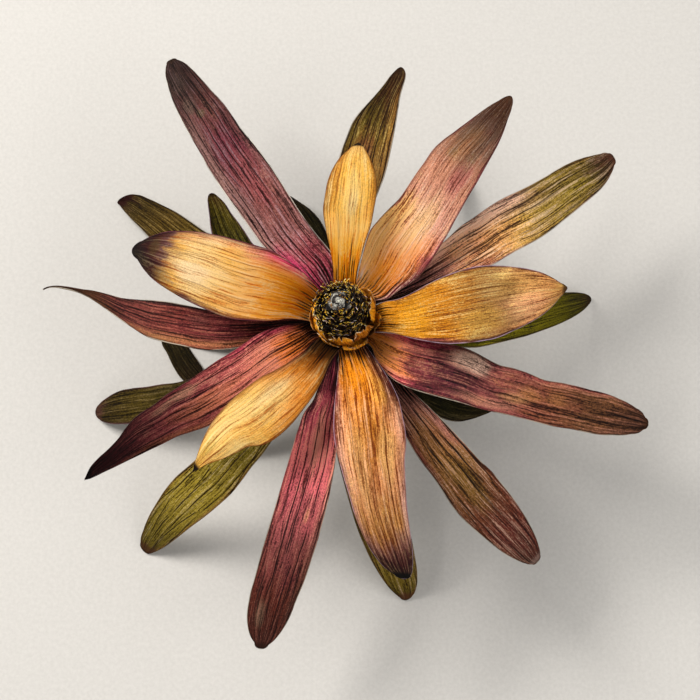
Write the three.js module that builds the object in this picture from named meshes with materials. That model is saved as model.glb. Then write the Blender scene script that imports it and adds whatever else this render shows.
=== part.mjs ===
// Dried leucadendron: one cut flower head with its short stem, lying on its
// back with the face up.  It rests on the cut end of the stem and on the
// drooping tips of the lower leaves.
// Millimetres, +Z up.  The origin is under the middle of the overall box, on
// the surface the head lies on.
//
// The head is built the way it grew.  One woody stem widens into a receptacle.
// Twenty-six blades leave it in one spiral of about 137.8 degrees a step:
// fourteen coloured bracts above, twelve green-olive leaves below.  The cone
// sits on the receptacle: two rings of papery scales, five rows of florets and
// a pale tuft at the apex.

import * as THREE from 'three';

// ---------------------------------------------------------------- stem ----
const STEM_AXIS = [1.24, 7.00];     // where the stem stands, x and y
const STEM_SIDES = 22;
// [radius, height] from the cut end up to the crown of the receptacle
const STEM_PROFILE = [
  [0, 0], [3.1, 0], [3.35, 0.4], [3.3, 7], [3.45, 15], [3.4, 23], [3.7, 30],
  [4.4, 36], [5.2, 40], [6.0, 44], [6.35, 46.4], [6.2, 50], [5.9, 55],
  [5.0, 60], [3.7, 64], [2.0, 67], [0.9, 68], [0, 68.3]
];

// -------------------------------------------------------------- blades ----
const BLADE_CELLS_ACROSS = 4;
const BLADE_MID_THICKNESS = 0.85;   // along the midrib
const BLADE_EDGE_THICKNESS = 0.45;  // along the margins
const BLADE_TIP_THICKNESS = 0.4;
const SURFACE_HEIGHT = 0;           // no blade reaches below the surface

// Each blade is lofted through its measured cross-sections, from the base at
// the stem to the tip.  A row is one cross-section of the upper face:
// [left margin x, y, z, right margin x, y, z, height of the middle over the chord]
const BLADES = {
  bract_01: {
    color: '#e0b45c',
    rows: [
      [-1.86, 13.55, 44.5, 4.74, 13.34, 44.5, -0.79],
      [-1.86, 18.88, 52.87, 5.07, 18.88, 52.87, -0.56],
      [-2.4, 22.11, 56.67, 6.19, 22.11, 56.67, -0.48],
      [-3.22, 25.48, 59.92, 7.43, 25.48, 59.92, -0.3],
      [-4.03, 28.99, 62.64, 8.82, 28.99, 62.64, 0.06],
      [-4.58, 32.65, 64.85, 9.64, 32.65, 64.85, 0.7],
      [-4.01, 36.47, 66.54, 10.33, 36.47, 66.54, 1.26],
      [-3.17, 40.4, 67.91, 10.32, 40.4, 67.91, 1.35],
      [-1.78, 43.67, 68.64, 9.63, 43.67, 68.64, 1.14],
      [0.03, 46.51, 68.98, 8.52, 46.51, 68.98, 0.85],
      [2.39, 49.05, 68.53, 7.28, 49.05, 68.53, 0.49],
      [4.69, 51.4, 67.83, 5.69, 51.4, 67.83, 0]
    ]
  },
  bract_02: {
    color: '#e3bd72',
    rows: [
      [-4.52, 2.88, 43.55, 1.38, -0.08, 43.55, -0.79],
      [-6.27, -0.5, 49.08, -0.38, -3.65, 49.04, -0.65],
      [-8.29, -4.32, 54.23, -2.13, -7.54, 54.13, -0.5],
      [-10.8, -7.67, 58.79, -3.87, -12.64, 58.52, -0.36],
      [-14.19, -10.82, 62.56, -6.04, -18.29, 61.97, -0.13],
      [-18.12, -13.86, 65.39, -9.17, -23.69, 64.33, 0.31],
      [-22.3, -16.69, 67.48, -12.73, -28.78, 65.79, 1.02],
      [-26.13, -20.1, 68.92, -16.79, -32.86, 66.6, 1.64],
      [-30.02, -24.08, 69.98, -21.18, -35.13, 67.26, 1.73],
      [-33.43, -28.46, 70.41, -26, -36.33, 67.77, 1.31],
      [-35.92, -32.88, 70.46, -30.46, -38.69, 68.14, 0.87],
      [-37.77, -37.39, 68.81, -35.31, -40.24, 67.52, 0.33],
      [-39.5, -41.41, 65.94, -38.88, -42.12, 65.61, 0]
    ]
  },
  bract_03: {
    color: '#cf9a5e',
    rows: [
      [7.52, 9.87, 42.6, 7.06, 3.29, 42.6, -0.79],
      [11.58, 10.68, 47.51, 11.23, 2.17, 47.64, -0.77],
      [15.68, 10.38, 52.18, 15.34, 0.37, 52.47, -0.67],
      [20.19, 10.99, 56.29, 19.77, -2.06, 56.87, -0.49],
      [25.01, 12.85, 59.61, 24.78, -4.16, 60.62, -0.16],
      [30.11, 14.64, 61.98, 30.08, -5.54, 63.47, 0.44],
      [35.21, 15.85, 63.7, 35.38, -5.84, 65.57, 1.24],
      [40.2, 16.27, 64.9, 40.63, -5.46, 67.02, 1.89],
      [45.15, 16.04, 65.89, 45.52, -4.16, 68.03, 1.99],
      [49.92, 15.4, 66.05, 50.19, -1.86, 68.06, 1.74],
      [54.48, 14.54, 65.67, 54.62, 0.85, 67.36, 1.38],
      [58.84, 12.82, 65.11, 58.81, 4.69, 66.16, 0.82],
      [62.97, 10.5, 64.59, 62.93, 9.51, 64.72, 0]
    ]
  },
  bract_04: {
    color: '#e6c283',
    rows: [
      [-2.78, 12.41, 41.65, -5.48, 6.39, 41.65, -0.79],
      [-6.93, 16.32, 46.2, -9.66, 6.01, 45.99, -0.89],
      [-10.3, 18.74, 51, -14.61, 5.31, 50.46, -0.72],
      [-14.54, 20.89, 55.34, -19.55, 3.59, 54.32, -0.34],
      [-19.17, 22.64, 59.04, -24.63, 2.75, 57.49, 0.28],
      [-23.9, 23.38, 61.9, -30.11, 2.63, 59.86, 1.02],
      [-28.77, 24.12, 64.07, -35.24, 3.97, 61.71, 1.75],
      [-33.92, 24.97, 65.6, -39.8, 5.7, 63.03, 2.22],
      [-38.88, 25.45, 66.73, -44.2, 7.72, 64.09, 2.26],
      [-43.81, 25.72, 66.87, -48.32, 10.24, 64.34, 1.95],
      [-48.48, 25.73, 65.93, -52.13, 13.29, 63.76, 1.53],
      [-53.27, 24.68, 64.28, -55.25, 17.31, 62.93, 0.86],
      [-57.75, 22.65, 61.59, -58.01, 21.7, 61.41, 0]
    ]
  },
  bract_05: {
    color: '#c58f68',
    rows: [
      [-0.45, 0.64, 40.7, 5.92, 2.38, 40.7, -0.92],
      [-0.29, -4.4, 46.5, 8.84, -3.51, 46.26, -0.62],
      [-0.4, -9.98, 52.09, 11.74, -9.27, 51.47, -0.1],
      [-0.86, -16.21, 56.91, 14.58, -15.37, 55.81, 0.63],
      [-1.41, -22.94, 60.42, 16.77, -22.09, 58.89, 1.24],
      [-1.53, -29.58, 62.76, 18.03, -29.2, 61.05, 1.67],
      [-0.54, -36.7, 64.28, 18.05, -35.54, 62.69, 1.79],
      [1.29, -43.45, 64.78, 17.85, -41.82, 63.45, 1.67],
      [3.05, -49.45, 64.27, 18.1, -48.19, 63.2, 1.49],
      [4.96, -55.32, 63.05, 18.66, -53.85, 62.24, 1.29],
      [7.43, -60.49, 61.48, 19.38, -59.37, 60.97, 1.03],
      [10.65, -65.03, 59.51, 19.79, -64.74, 59.3, 0.69],
      [16.97, -69.47, 57.38, 17.97, -69.53, 57.38, 0]
    ]
  },
  bract_06: {
    color: '#c99f86',
    rows: [
      [1.77, 13.39, 39.75, 7.13, 9.53, 39.75, -0.92],
      [5, 18.6, 45.17, 12.24, 12.51, 44.59, -0.9],
      [6.34, 22.95, 51.03, 19.65, 15.6, 49.41, -0.8],
      [8.59, 29.45, 55.87, 24.7, 19.48, 53.25, -0.26],
      [13.63, 34.62, 59.04, 28.38, 24.59, 56.51, 0.31],
      [18.44, 39.72, 60.98, 31.91, 30.27, 58.95, 0.68],
      [22.38, 45.53, 62.25, 35.12, 35.81, 60.72, 0.98],
      [26, 50.86, 62.58, 38.5, 41.44, 61.55, 1.18],
      [30.39, 55.14, 62.46, 41.62, 47.08, 61.97, 1.11],
      [34.93, 58.86, 62, 44.57, 52.55, 61.95, 0.91],
      [39.18, 62.66, 61.01, 46.81, 57.97, 61.3, 0.68],
      [43.72, 66.32, 59.86, 48.57, 63.17, 60.25, 0.41],
      [48.66, 69.44, 58.89, 49.52, 68.94, 58.97, 0]
    ]
  },
  bract_07: {
    color: '#93554b',
    rows: [
      [-4.69, 7.99, 38.8, -2.92, 2.67, 38.8, -0.67],
      [-10.78, 5.61, 44.17, -8.58, -1.31, 44.43, -0.55],
      [-16.14, 3.19, 49.53, -13.2, -8.04, 50.17, -0.44],
      [-22.08, 0.12, 53.66, -18.61, -14.4, 54.63, -0.02],
      [-28, -4.85, 56.61, -24.01, -19.89, 57.68, 0.44],
      [-34.19, -9.56, 58.62, -30.02, -24.64, 59.55, 0.76],
      [-40.26, -14.43, 60.06, -36.41, -28.26, 59.95, 0.94],
      [-46.43, -18.83, 60.72, -43.15, -30.47, 59.45, 0.93],
      [-51.85, -22.92, 60.75, -49.56, -33.39, 58.66, 0.87],
      [-56.75, -26.51, 59.92, -55.93, -36.19, 57.27, 0.66],
      [-60.62, -31.29, 58.15, -61.81, -38.64, 55.54, 0.27],
      [-65.63, -35.49, 55.41, -66.41, -40.29, 53.32, -0.03],
      [-70.2, -40.68, 51.72, -70.23, -41.58, 51.29, 0]
    ]
  },
  bract_08: {
    color: '#96605a',
    rows: [
      [7.07, 6.77, 37.85, 4.19, 1.97, 37.85, -0.67],
      [12.19, 3.13, 43.36, 10.01, -4.02, 43.65, -0.54],
      [18, 0.85, 48.66, 14.77, -12, 49.57, -0.39],
      [25.37, -1.78, 52.51, 21.85, -16.6, 53.88, 0.13],
      [33.61, -4.2, 55.12, 29.44, -19.55, 56.73, 0.54],
      [40.9, -8.2, 56.94, 37.24, -22.31, 58.41, 0.67],
      [48.44, -11.07, 57.38, 45.03, -24.28, 58.62, 0.74],
      [55.54, -13.93, 57.55, 52.59, -26.17, 58.46, 0.74],
      [62.44, -15.39, 57.27, 59.93, -27.8, 57.86, 0.76],
      [69.07, -16.75, 55.92, 66.74, -28.64, 56.1, 0.67],
      [75.19, -17.96, 54.08, 73.31, -29.01, 53.85, 0.52],
      [80.93, -20.66, 51.86, 79.65, -27.92, 51.41, 0.25],
      [86.28, -24.59, 49.27, 86.09, -25.57, 49.18, 0]
    ]
  },
  bract_09: {
    color: '#8c5f60',
    rows: [
      [-3.38, 10.29, 36.9, 1.69, 12.65, 36.9, -0.67],
      [-7.2, 16.44, 42.58, -1.14, 20.24, 42.35, -0.67],
      [-15.25, 21.14, 48.14, -3.4, 27.09, 47.41, -0.98],
      [-21.96, 26.44, 52.08, -8.95, 33.22, 51.02, -0.75],
      [-27, 33, 54.61, -14.04, 40.46, 53.38, -0.42],
      [-31.79, 39.33, 56.07, -18.85, 48.06, 54.73, -0.09],
      [-36.25, 46.09, 56.12, -23.6, 54.84, 54.82, 0.24],
      [-40.02, 53.15, 55.71, -28.33, 60.86, 54.71, 0.46],
      [-43.48, 59.51, 54.29, -32.3, 67.09, 53.6, 0.58],
      [-46.56, 65.83, 52.32, -36.22, 72.55, 52, 0.61],
      [-48.96, 71.9, 50.24, -40.24, 77.88, 50.28, 0.58],
      [-50.79, 78.09, 48.1, -44.25, 82.85, 48.39, 0.48],
      [-50.48, 85.87, 46.12, -49.58, 86.3, 46.18, 0]
    ]
  },
  bract_10: {
    color: '#93525c',
    rows: [
      [-2.74, 3.18, 35.95, 2.66, 1.68, 35.95, -0.67],
      [-3.21, -5.24, 41.27, -0.11, -5.63, 41.38, -0.25],
      [-5.86, -13.22, 46.38, -0.01, -13.6, 46.71, -0.23],
      [-9.61, -21.22, 49.71, -0.18, -22.58, 50.42, -0.04],
      [-12.26, -29.6, 51.59, -0.67, -31.69, 52.57, 0.27],
      [-14.55, -38.05, 52.39, -1.67, -40.38, 53.53, 0.55],
      [-16.88, -46.29, 52.27, -3.26, -48.46, 53.44, 0.8],
      [-19.13, -54, 51.79, -5.23, -56.11, 52.79, 0.95],
      [-21.34, -61.22, 50.01, -7.38, -62.93, 50.69, 0.99],
      [-23.24, -67.99, 47.73, -9.63, -69.15, 48.01, 0.94],
      [-24.9, -74.05, 45.22, -12.36, -75.15, 45.06, 0.82],
      [-24.9, -80.15, 42.46, -15.63, -80.83, 42.01, 0.55],
      [-22.35, -86.16, 39.3, -21.37, -86.3, 39.22, 0]
    ]
  },
  bract_11: {
    color: '#a3875a',
    rows: [
      [2.8, 12.18, 35, 6.55, 8.02, 35, -0.67],
      [9.81, 16.66, 39.96, 11.45, 13, 39.85, -0.39],
      [17.06, 19.66, 44.71, 19.48, 13.87, 44.42, -0.51],
      [24.05, 23.96, 48.24, 27.69, 15.79, 47.69, -0.53],
      [31.03, 29.23, 50.48, 35.57, 18.23, 49.66, -0.47],
      [37.75, 34.54, 51.62, 43.21, 21.03, 50.58, -0.26],
      [44.18, 39.1, 51.82, 50.1, 25.07, 50.76, 0.09],
      [50.56, 42.64, 51.49, 56.89, 28.94, 50.63, 0.36],
      [56.56, 46.08, 50.57, 62.76, 33.45, 50.08, 0.42],
      [62.09, 49.93, 49.22, 67.89, 37.97, 49.15, 0.4],
      [67.67, 53.36, 47.92, 72.72, 42.31, 48.25, 0.35],
      [73.55, 55.73, 46.61, 77.15, 47.17, 47.2, 0.24],
      [79.81, 55.91, 45.59, 80.22, 55, 45.69, 0]
    ]
  },
  bract_12: {
    color: '#7c4a46',
    rows: [
      [-3.04, 10.16, 34.05, -3.5, 4.58, 34.05, -0.56],
      [-11.12, 8.72, 38.58, -10.78, 5.47, 38.67, -0.15],
      [-18.61, 8.02, 42.84, -18.25, 1.59, 43.2, 0],
      [-26.76, 7.81, 45.48, -26.3, -1.63, 46.33, 0.33],
      [-35, 8.25, 46.81, -34.69, -3.31, 48.25, 0.58],
      [-42.9, 9.95, 47.07, -42.94, -2.75, 49.14, 0.61],
      [-50.35, 11.55, 46.55, -50.74, -0.89, 49.09, 0.53],
      [-57.06, 12.36, 45.23, -57.92, 2.83, 47.61, 0.33],
      [-63.14, 13.47, 43.78, -64.17, 7.7, 45.46, 0.17],
      [-68.8, 15.6, 41.99, -69.58, 12.15, 43.05, 0.08],
      [-74.29, 17.14, 39.8, -74.85, 15.83, 40.19, 0.02],
      [-80.06, 18.57, 37.79, -80.28, 18.07, 37.88, 0],
      [-86.26, 18.02, 38.15, -85.91, 17.09, 38.18, 0]
    ]
  },
  bract_13: {
    color: '#96704f',
    rows: [
      [2.52, 1.93, 33.1, 6.37, 6, 33.1, -0.67],
      [7.4, -2.67, 37.48, 11.37, -0.72, 37.3, -0.47],
      [10.05, -10.1, 41.66, 15.45, -7.26, 41.26, -0.54],
      [13.34, -17.33, 44.38, 20.28, -14.03, 43.71, -0.53],
      [17.03, -24.95, 45.96, 25.87, -19.76, 44.95, -0.47],
      [20.99, -32.26, 46.42, 31.16, -25.32, 45.14, -0.22],
      [25.42, -38.61, 46.36, 36.17, -30.86, 45.04, 0.24],
      [29.62, -44.94, 45.43, 40.87, -35.75, 44.18, 0.65],
      [34.13, -50.6, 43.61, 45.11, -40.14, 42.64, 0.76],
      [39.39, -54.86, 41.11, 48.77, -44.33, 40.6, 0.71],
      [44.5, -58.54, 38.35, 51.96, -48.69, 38.3, 0.62],
      [49.71, -61.06, 35.49, 54.87, -53.56, 35.78, 0.46],
      [55.67, -61.48, 32.76, 56.34, -60.73, 32.82, 0]
    ]
  },
  bract_14: {
    color: '#7d6440',
    rows: [
      [-1.36, 11.43, 32.15, 4.23, 11.16, 32.15, -0.56],
      [0.03, 18.06, 36.03, 3.53, 18.33, 36.01, -0.26],
      [-1.14, 24.68, 39.77, 5.55, 25.48, 39.68, -0.37],
      [-1.71, 31.78, 42.4, 7.43, 32.78, 42.14, -0.36],
      [-1.83, 39.02, 44.19, 9.27, 39.94, 43.71, -0.35],
      [-1.4, 46.6, 44.88, 11.58, 46.34, 44.09, -0.4],
      [-0.58, 53.31, 45.39, 13.72, 52.96, 44.24, -0.52],
      [0.89, 58.98, 45.5, 15.22, 59.96, 44.04, -0.61],
      [2.87, 64.68, 45.03, 16.32, 66.22, 43.32, -0.64],
      [5.67, 69.71, 44.45, 17.24, 72.31, 42.63, -0.6],
      [9.33, 74.42, 43.59, 18.22, 77.84, 41.88, -0.48],
      [13.19, 79.77, 42.51, 19.38, 82.16, 41.13, -0.34],
      [17.52, 85.86, 40.82, 18.46, 86.11, 40.6, 0]
    ]
  },
  leaf_01: {
    color: '#8f8a45',
    rows: [
      [-3.62, 6.55, 31.2, -0.68, 2.51, 31.2, -0.5],
      [-10.02, 0.39, 35.51, -6.46, -3.11, 35.32, -0.29],
      [-15.92, -6.25, 38.64, -10.44, -11.65, 38.13, -0.17],
      [-22.61, -13.2, 39.33, -14.53, -19.76, 38.48, 0.08],
      [-29.25, -20.13, 38.44, -19.02, -26.88, 37.37, 0.32],
      [-35.24, -25.94, 35.19, -24.01, -32.8, 34.07, 0.52],
      [-40.79, -30.57, 30.49, -28.46, -37.65, 29.6, 0.68],
      [-45.65, -33.53, 25.16, -33.22, -41.85, 24.63, 0.74],
      [-49.73, -36.21, 19.75, -38.2, -44.98, 19.56, 0.69],
      [-53.03, -39.3, 14.39, -42.9, -47.44, 14.37, 0.53],
      [-56.03, -42.68, 9.43, -47.51, -49.92, 9.43, 0.34],
      [-58.48, -46.72, 4.79, -52.21, -52.36, 4.79, 0.14],
      [-58.69, -53.06, 0.4, -57.84, -53.61, 0.4, 0]
    ]
  },
  leaf_02: {
    color: '#7f8429',
    rows: [
      [3.04, 11.38, 29.15, 5.96, 7.33, 29.15, -0.5],
      [12.04, 13.19, 32.63, 11.99, 7.69, 32.78, -0.4],
      [20.39, 13.66, 35.05, 20.43, 4.05, 35.52, -0.42],
      [28.84, 14.31, 35.54, 29.27, 1.58, 36.32, -0.22],
      [37, 15.6, 33.5, 37.62, 1.16, 34.48, 0.09],
      [44.45, 17.17, 30.3, 44.7, 2.98, 31.26, 0.39],
      [50.8, 18.87, 26.48, 51.04, 5.56, 27.16, 0.58],
      [56.23, 20.64, 22.11, 56.5, 8.23, 22.48, 0.62],
      [61.12, 22.37, 17.71, 61.41, 11.15, 17.84, 0.54],
      [65.82, 23.91, 13.52, 66.16, 14.06, 13.53, 0.4],
      [70.14, 25.37, 9.32, 70.51, 17.23, 9.32, 0.24],
      [74.01, 26.45, 4.97, 74.44, 20.76, 4.97, 0.09],
      [77.67, 26.37, 0.4, 77.78, 25.38, 0.4, 0]
    ]
  },
  leaf_03: {
    color: '#6f7334',
    rows: [
      [-3.25, 8.35, 27.1, 0.53, 11.63, 27.1, -0.5],
      [-5.6, 12.2, 29.44, -3.65, 16.39, 29.32, -0.32],
      [-10.58, 12.81, 31.64, -8.17, 18.77, 31.35, -0.3],
      [-16.1, 13.87, 33.48, -12.42, 21.32, 32.92, -0.24],
      [-21.32, 15.89, 34.76, -16.36, 24.11, 33.89, -0.2],
      [-26.19, 18.98, 35.08, -19.64, 27.18, 33.94, -0.24],
      [-30.4, 23.02, 35.17, -22.49, 29.87, 33.83, -0.35],
      [-33.97, 27.76, 35.16, -24.91, 32.27, 33.69, -0.46],
      [-36.48, 32.09, 34.93, -27.16, 35.34, 33.33, -0.55],
      [-37.85, 36.32, 34.64, -29.34, 38.75, 33.09, -0.53],
      [-38.46, 40.67, 34.39, -31.7, 41.94, 33.1, -0.42],
      [-38.99, 44.65, 34.48, -33.93, 45.34, 33.45, -0.31],
      [-38.52, 48.38, 34.62, -37.56, 48.56, 34.41, 0]
    ]
  },
  leaf_04: {
    color: '#8c8448',
    rows: [
      [-0.78, 2.83, 25.05, 4.19, 3.43, 25.05, -0.5],
      [-1.05, -4.9, 28.38, 6.3, -4.06, 28.16, -0.5],
      [-1.64, -13.02, 30.42, 8.71, -11.77, 29.89, -0.38],
      [-1.77, -21.23, 30.81, 11.16, -19.48, 30, -0.16],
      [-0.97, -28.87, 29.67, 13.57, -26.88, 28.66, 0.06],
      [0.71, -35.69, 27.37, 15.99, -33.71, 26.32, 0.27],
      [2.5, -41.81, 24.17, 17.98, -39.98, 23.35, 0.41],
      [4.29, -47.2, 20.53, 19.43, -45.92, 20.09, 0.45],
      [6.26, -52.06, 16.64, 20.75, -51.17, 16.5, 0.41],
      [8.64, -56.61, 12.75, 21.87, -55.74, 12.74, 0.32],
      [11.36, -60.78, 8.8, 22.68, -59.79, 8.81, 0.2],
      [14.58, -64.55, 4.7, 22.7, -63.46, 4.7, 0.08],
      [19.11, -67.64, 0.4, 20.1, -67.49, 0.4, 0]
    ]
  },
  leaf_05: {
    color: '#7a7a3c',
    rows: [
      [0.27, 11.48, 23, 4.94, 9.7, 23, -0.4],
      [4.9, 18.16, 25.62, 6.63, 15.7, 25.62, -0.14],
      [9.27, 24.14, 26.98, 12.64, 20.64, 26.98, -0.07],
      [13.43, 30.27, 26.54, 17.96, 26.02, 26.54, 0.05],
      [17.31, 36.03, 24.78, 22.61, 31.34, 24.78, 0.15],
      [20.72, 41.41, 22.18, 26.4, 36.67, 22.18, 0.21],
      [23.43, 46.38, 19.01, 29.43, 41.88, 19.01, 0.25],
      [25.84, 51.02, 15.85, 31.91, 47.06, 15.85, 0.27],
      [27.85, 55.44, 12.65, 34.01, 51.99, 12.65, 0.28],
      [29.82, 59.65, 9.52, 35.68, 56.71, 9.52, 0.26],
      [31.78, 63.69, 6.54, 37.19, 61.3, 6.54, 0.18],
      [33.99, 67.48, 3.58, 38.3, 65.79, 3.58, 0.07],
      [36.91, 70.83, 0.4, 37.85, 70.48, 0.4, 0]
    ]
  },
  leaf_06: {
    color: '#75733f',
    rows: [
      [-2.37, 9.75, 20.95, -2.7, 4.76, 20.95, -0.4],
      [-10.66, 9.01, 23.74, -9.26, 4.78, 23.6, -0.21],
      [-17.77, 5.79, 25.15, -16, -0.22, 24.8, -0.1],
      [-25.09, 2.91, 24.98, -22.88, -4.16, 24.49, 0.05],
      [-32.13, 0.2, 23.49, -29.46, -7.59, 22.91, 0.17],
      [-38.67, -2.12, 21.14, -35.9, -10.34, 20.52, 0.24],
      [-44.61, -4.1, 18.27, -42.17, -12.45, 17.78, 0.29],
      [-50.4, -4.77, 15.31, -48.21, -14.15, 15.03, 0.36],
      [-55.85, -4.75, 12.28, -54.05, -15.18, 12.21, 0.42],
      [-60.93, -4.72, 9.48, -59.77, -15.44, 9.49, 0.42],
      [-65.76, -4.82, 6.79, -65.3, -15.29, 6.79, 0.33],
      [-70.46, -6.1, 3.8, -70.21, -14.38, 3.8, 0.13],
      [-74.79, -9.73, 0.4, -74.72, -10.73, 0.4, 0]
    ]
  },
  leaf_07: {
    color: '#5e5b30',
    rows: [
      [5.62, 8.01, 18.9, 3.85, 3.34, 18.9, -0.4],
      [13.64, 5.18, 21.16, 10.65, 0.58, 21.16, -0.15],
      [17.76, 2.33, 21.48, 14.18, -3.78, 21.48, 0],
      [21.91, 0.13, 21.11, 17.71, -7.65, 21.11, 0.15],
      [26.08, -1.56, 19.95, 21.55, -11.01, 19.95, 0.26],
      [30.59, -2.81, 18.25, 25.72, -13.79, 18.25, 0.38],
      [35.14, -3.96, 16.14, 30.23, -15.73, 16.14, 0.47],
      [39.42, -5.14, 14.07, 35.08, -16.26, 14.07, 0.47],
      [43.73, -6.32, 11.99, 39.99, -14.78, 11.99, 0.35],
      [47.44, -7.4, 10.1, 44.34, -12.74, 10.1, 0.15],
      [49.95, -8.28, 8.61, 47.79, -10.91, 8.61, 0.03],
      [51.08, -8.89, 7.57, 50.44, -9.66, 7.57, 0]
    ]
  },
  leaf_08: {
    color: '#636138',
    rows: [
      [-1.57, 10.51, 16.85, 3.41, 10.93, 16.85, -0.4],
      [-0.94, 18.18, 18.99, 1.45, 19.12, 18.99, -0.08],
      [-3.35, 22.56, 19, 0.55, 24.12, 19, -0.02],
      [-6.08, 27.03, 18.73, -0.51, 29.24, 18.73, 0.08],
      [-8.83, 31.73, 17.85, -1.74, 34.26, 17.85, 0.18],
      [-11.61, 36.67, 16.3, -3.13, 39.54, 16.3, 0.28],
      [-14.44, 41.74, 14.47, -4.68, 43.99, 14.47, 0.37],
      [-16.99, 46.64, 12.34, -6.87, 48.42, 12.34, 0.41],
      [-18.94, 51.23, 10.31, -9.7, 52.04, 10.31, 0.35],
      [-19.96, 55.05, 8.73, -12.68, 54.72, 8.73, 0.17],
      [-19.88, 57.79, 7.45, -15.68, 57.2, 7.45, 0.03],
      [-18.85, 58.9, 6.83, -17.86, 58.76, 6.83, 0]
    ]
  },
  leaf_09: {
    color: '#716f38',
    rows: [
      [-3.25, 7, 14.8, -0.47, 2.85, 14.8, -0.4],
      [-8.11, 3.13, 16.13, -5.11, 0.35, 16.13, -0.14],
      [-10.77, -0.66, 16.48, -7.18, -4.05, 16.48, -0.03],
      [-13.74, -4.3, 16.27, -9.25, -8.29, 16.27, 0.09],
      [-16.72, -7.47, 15.43, -11.62, -12.06, 15.43, 0.17],
      [-19.72, -10.48, 13.93, -14.32, -15.07, 13.93, 0.22],
      [-22.77, -13.04, 11.8, -17.34, -17.64, 11.8, 0.26],
      [-25.84, -15.4, 9.35, -20.7, -19.7, 9.35, 0.26],
      [-28.63, -17.66, 7.11, -24.07, -21.35, 7.11, 0.23],
      [-31.11, -19.69, 5.15, -27.46, -22.46, 5.15, 0.11],
      [-33.13, -21.38, 3.69, -30.39, -23.23, 3.69, 0.03],
      [-33.41, -22.8, 3, -32.58, -23.36, 3, 0]
    ]
  },
  leaf_10: {
    color: '#6d6d33',
    rows: [
      [0.85, 11.46, 12.75, 5.22, 9.04, 12.75, -0.4],
      [6.88, 18.58, 14.39, 6.87, 15.76, 14.39, -0.1],
      [12.02, 20.19, 14.27, 12.3, 16.1, 14.27, -0.06],
      [17.17, 21.58, 13.84, 17.74, 16.23, 13.84, 0.02],
      [22.37, 23.17, 12.73, 23.22, 16.55, 12.73, 0.12],
      [27.61, 24.75, 11.14, 28.74, 17, 11.14, 0.2],
      [32.89, 26.14, 9.2, 34.31, 17.71, 9.2, 0.28],
      [38.21, 27.32, 7.38, 39.61, 18.71, 7.38, 0.32],
      [43.24, 28.16, 5.66, 44.63, 20, 5.66, 0.33],
      [47.99, 28.67, 3.99, 49.39, 21.61, 3.99, 0.27],
      [52.14, 29.01, 2.33, 53.56, 23.53, 2.33, 0.13],
      [55.3, 28.79, 1.46, 56.46, 25.24, 1.46, 0.03],
      [57.46, 28.05, 1.2, 57.77, 27.1, 1.2, 0]
    ]
  },
  leaf_11: {
    color: '#7c7645',
    rows: [
      [1.72, 11.44, 10.7, -2.71, 9.11, 10.7, -0.4],
      [-4.01, 18.72, 12.43, -5.34, 15.85, 12.43, -0.15],
      [-10.9, 24, 12.31, -13.86, 18.5, 12.31, -0.12],
      [-17.44, 29.33, 10.96, -21.28, 21.8, 10.96, 0.03],
      [-23.81, 34.19, 9.12, -28.41, 24.98, 9.12, 0.18],
      [-29.95, 38.6, 7.49, -35.42, 28.16, 7.49, 0.3],
      [-35.73, 42.35, 6.12, -42.16, 31.88, 6.12, 0.39],
      [-41.43, 45.95, 5.03, -48.29, 35.69, 5.03, 0.44],
      [-46.59, 49.9, 4.1, -53.81, 39.68, 4.1, 0.49],
      [-51.55, 53.46, 3.31, -58.75, 44.11, 3.31, 0.47],
      [-56.68, 56.36, 2.44, -63.08, 48.91, 2.44, 0.34],
      [-62.07, 59.33, 1.43, -67.01, 53.28, 1.43, 0.14],
      [-69.47, 58.69, 0.4, -70.11, 57.92, 0.4, 0]
    ]
  },
  leaf_12: {
    color: '#55522b',
    rows: [
      [1.46, 11.45, 8.65, -2.81, 8.87, 8.65, -0.4],
      [-5.82, 15.72, 9.88, -4.68, 12.44, 9.88, -0.09],
      [-12.98, 16.61, 9.87, -12.33, 11.27, 9.87, 0.02],
      [-19.89, 17.59, 9.18, -19.21, 9.93, 9.18, 0.18],
      [-26.4, 18.45, 7.45, -25.68, 9.38, 7.45, 0.31],
      [-32.45, 19.42, 5.03, -31.61, 9.34, 5.03, 0.39],
      [-38.36, 19.94, 2.75, -37.21, 9.38, 2.75, 0.35],
      [-44.42, 19.94, 1.22, -42.47, 9.93, 1.22, 0.05],
      [-51.6, 18.61, 0.53, -46.42, 10.85, 0.53, 0],
      [-54.73, 10.64, 0.4, -47.99, 11.77, 0.4, 0],
      [-51.55, 4.65, 0.62, -45.75, 8.84, 0.62, 0],
      [-48.51, 0.16, 0.92, -43.19, 5.09, 0.92, 0],
      [-43.1, -1.55, 1.3, -42.44, -0.8, 1.3, 0]
    ]
  }
};

// ---------------------------------------------------------------- cone ----
// The cone leans off the stem: x and y for each millimetre above its foot.
const LEAN = [-0.065, -0.1];
const LEAN_FROM = 47;

// Papery scales round the foot of the cone, two rings of seven.  Even numbers
// stand in the inner ring, odd ones open outwards below them.
const SCALE_COUNT = 14;
const SCALE_THICKNESS = 0.35;
const SCALE_FIRST_TURN = 0.13;      // where the first scale stands round the stem
const SCALE_FULL_SIDE = -0.73;      // the direction in which the scales are longest
const SCALE_CUP = 0.2;              // how far each margin curls in towards the cone
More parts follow.
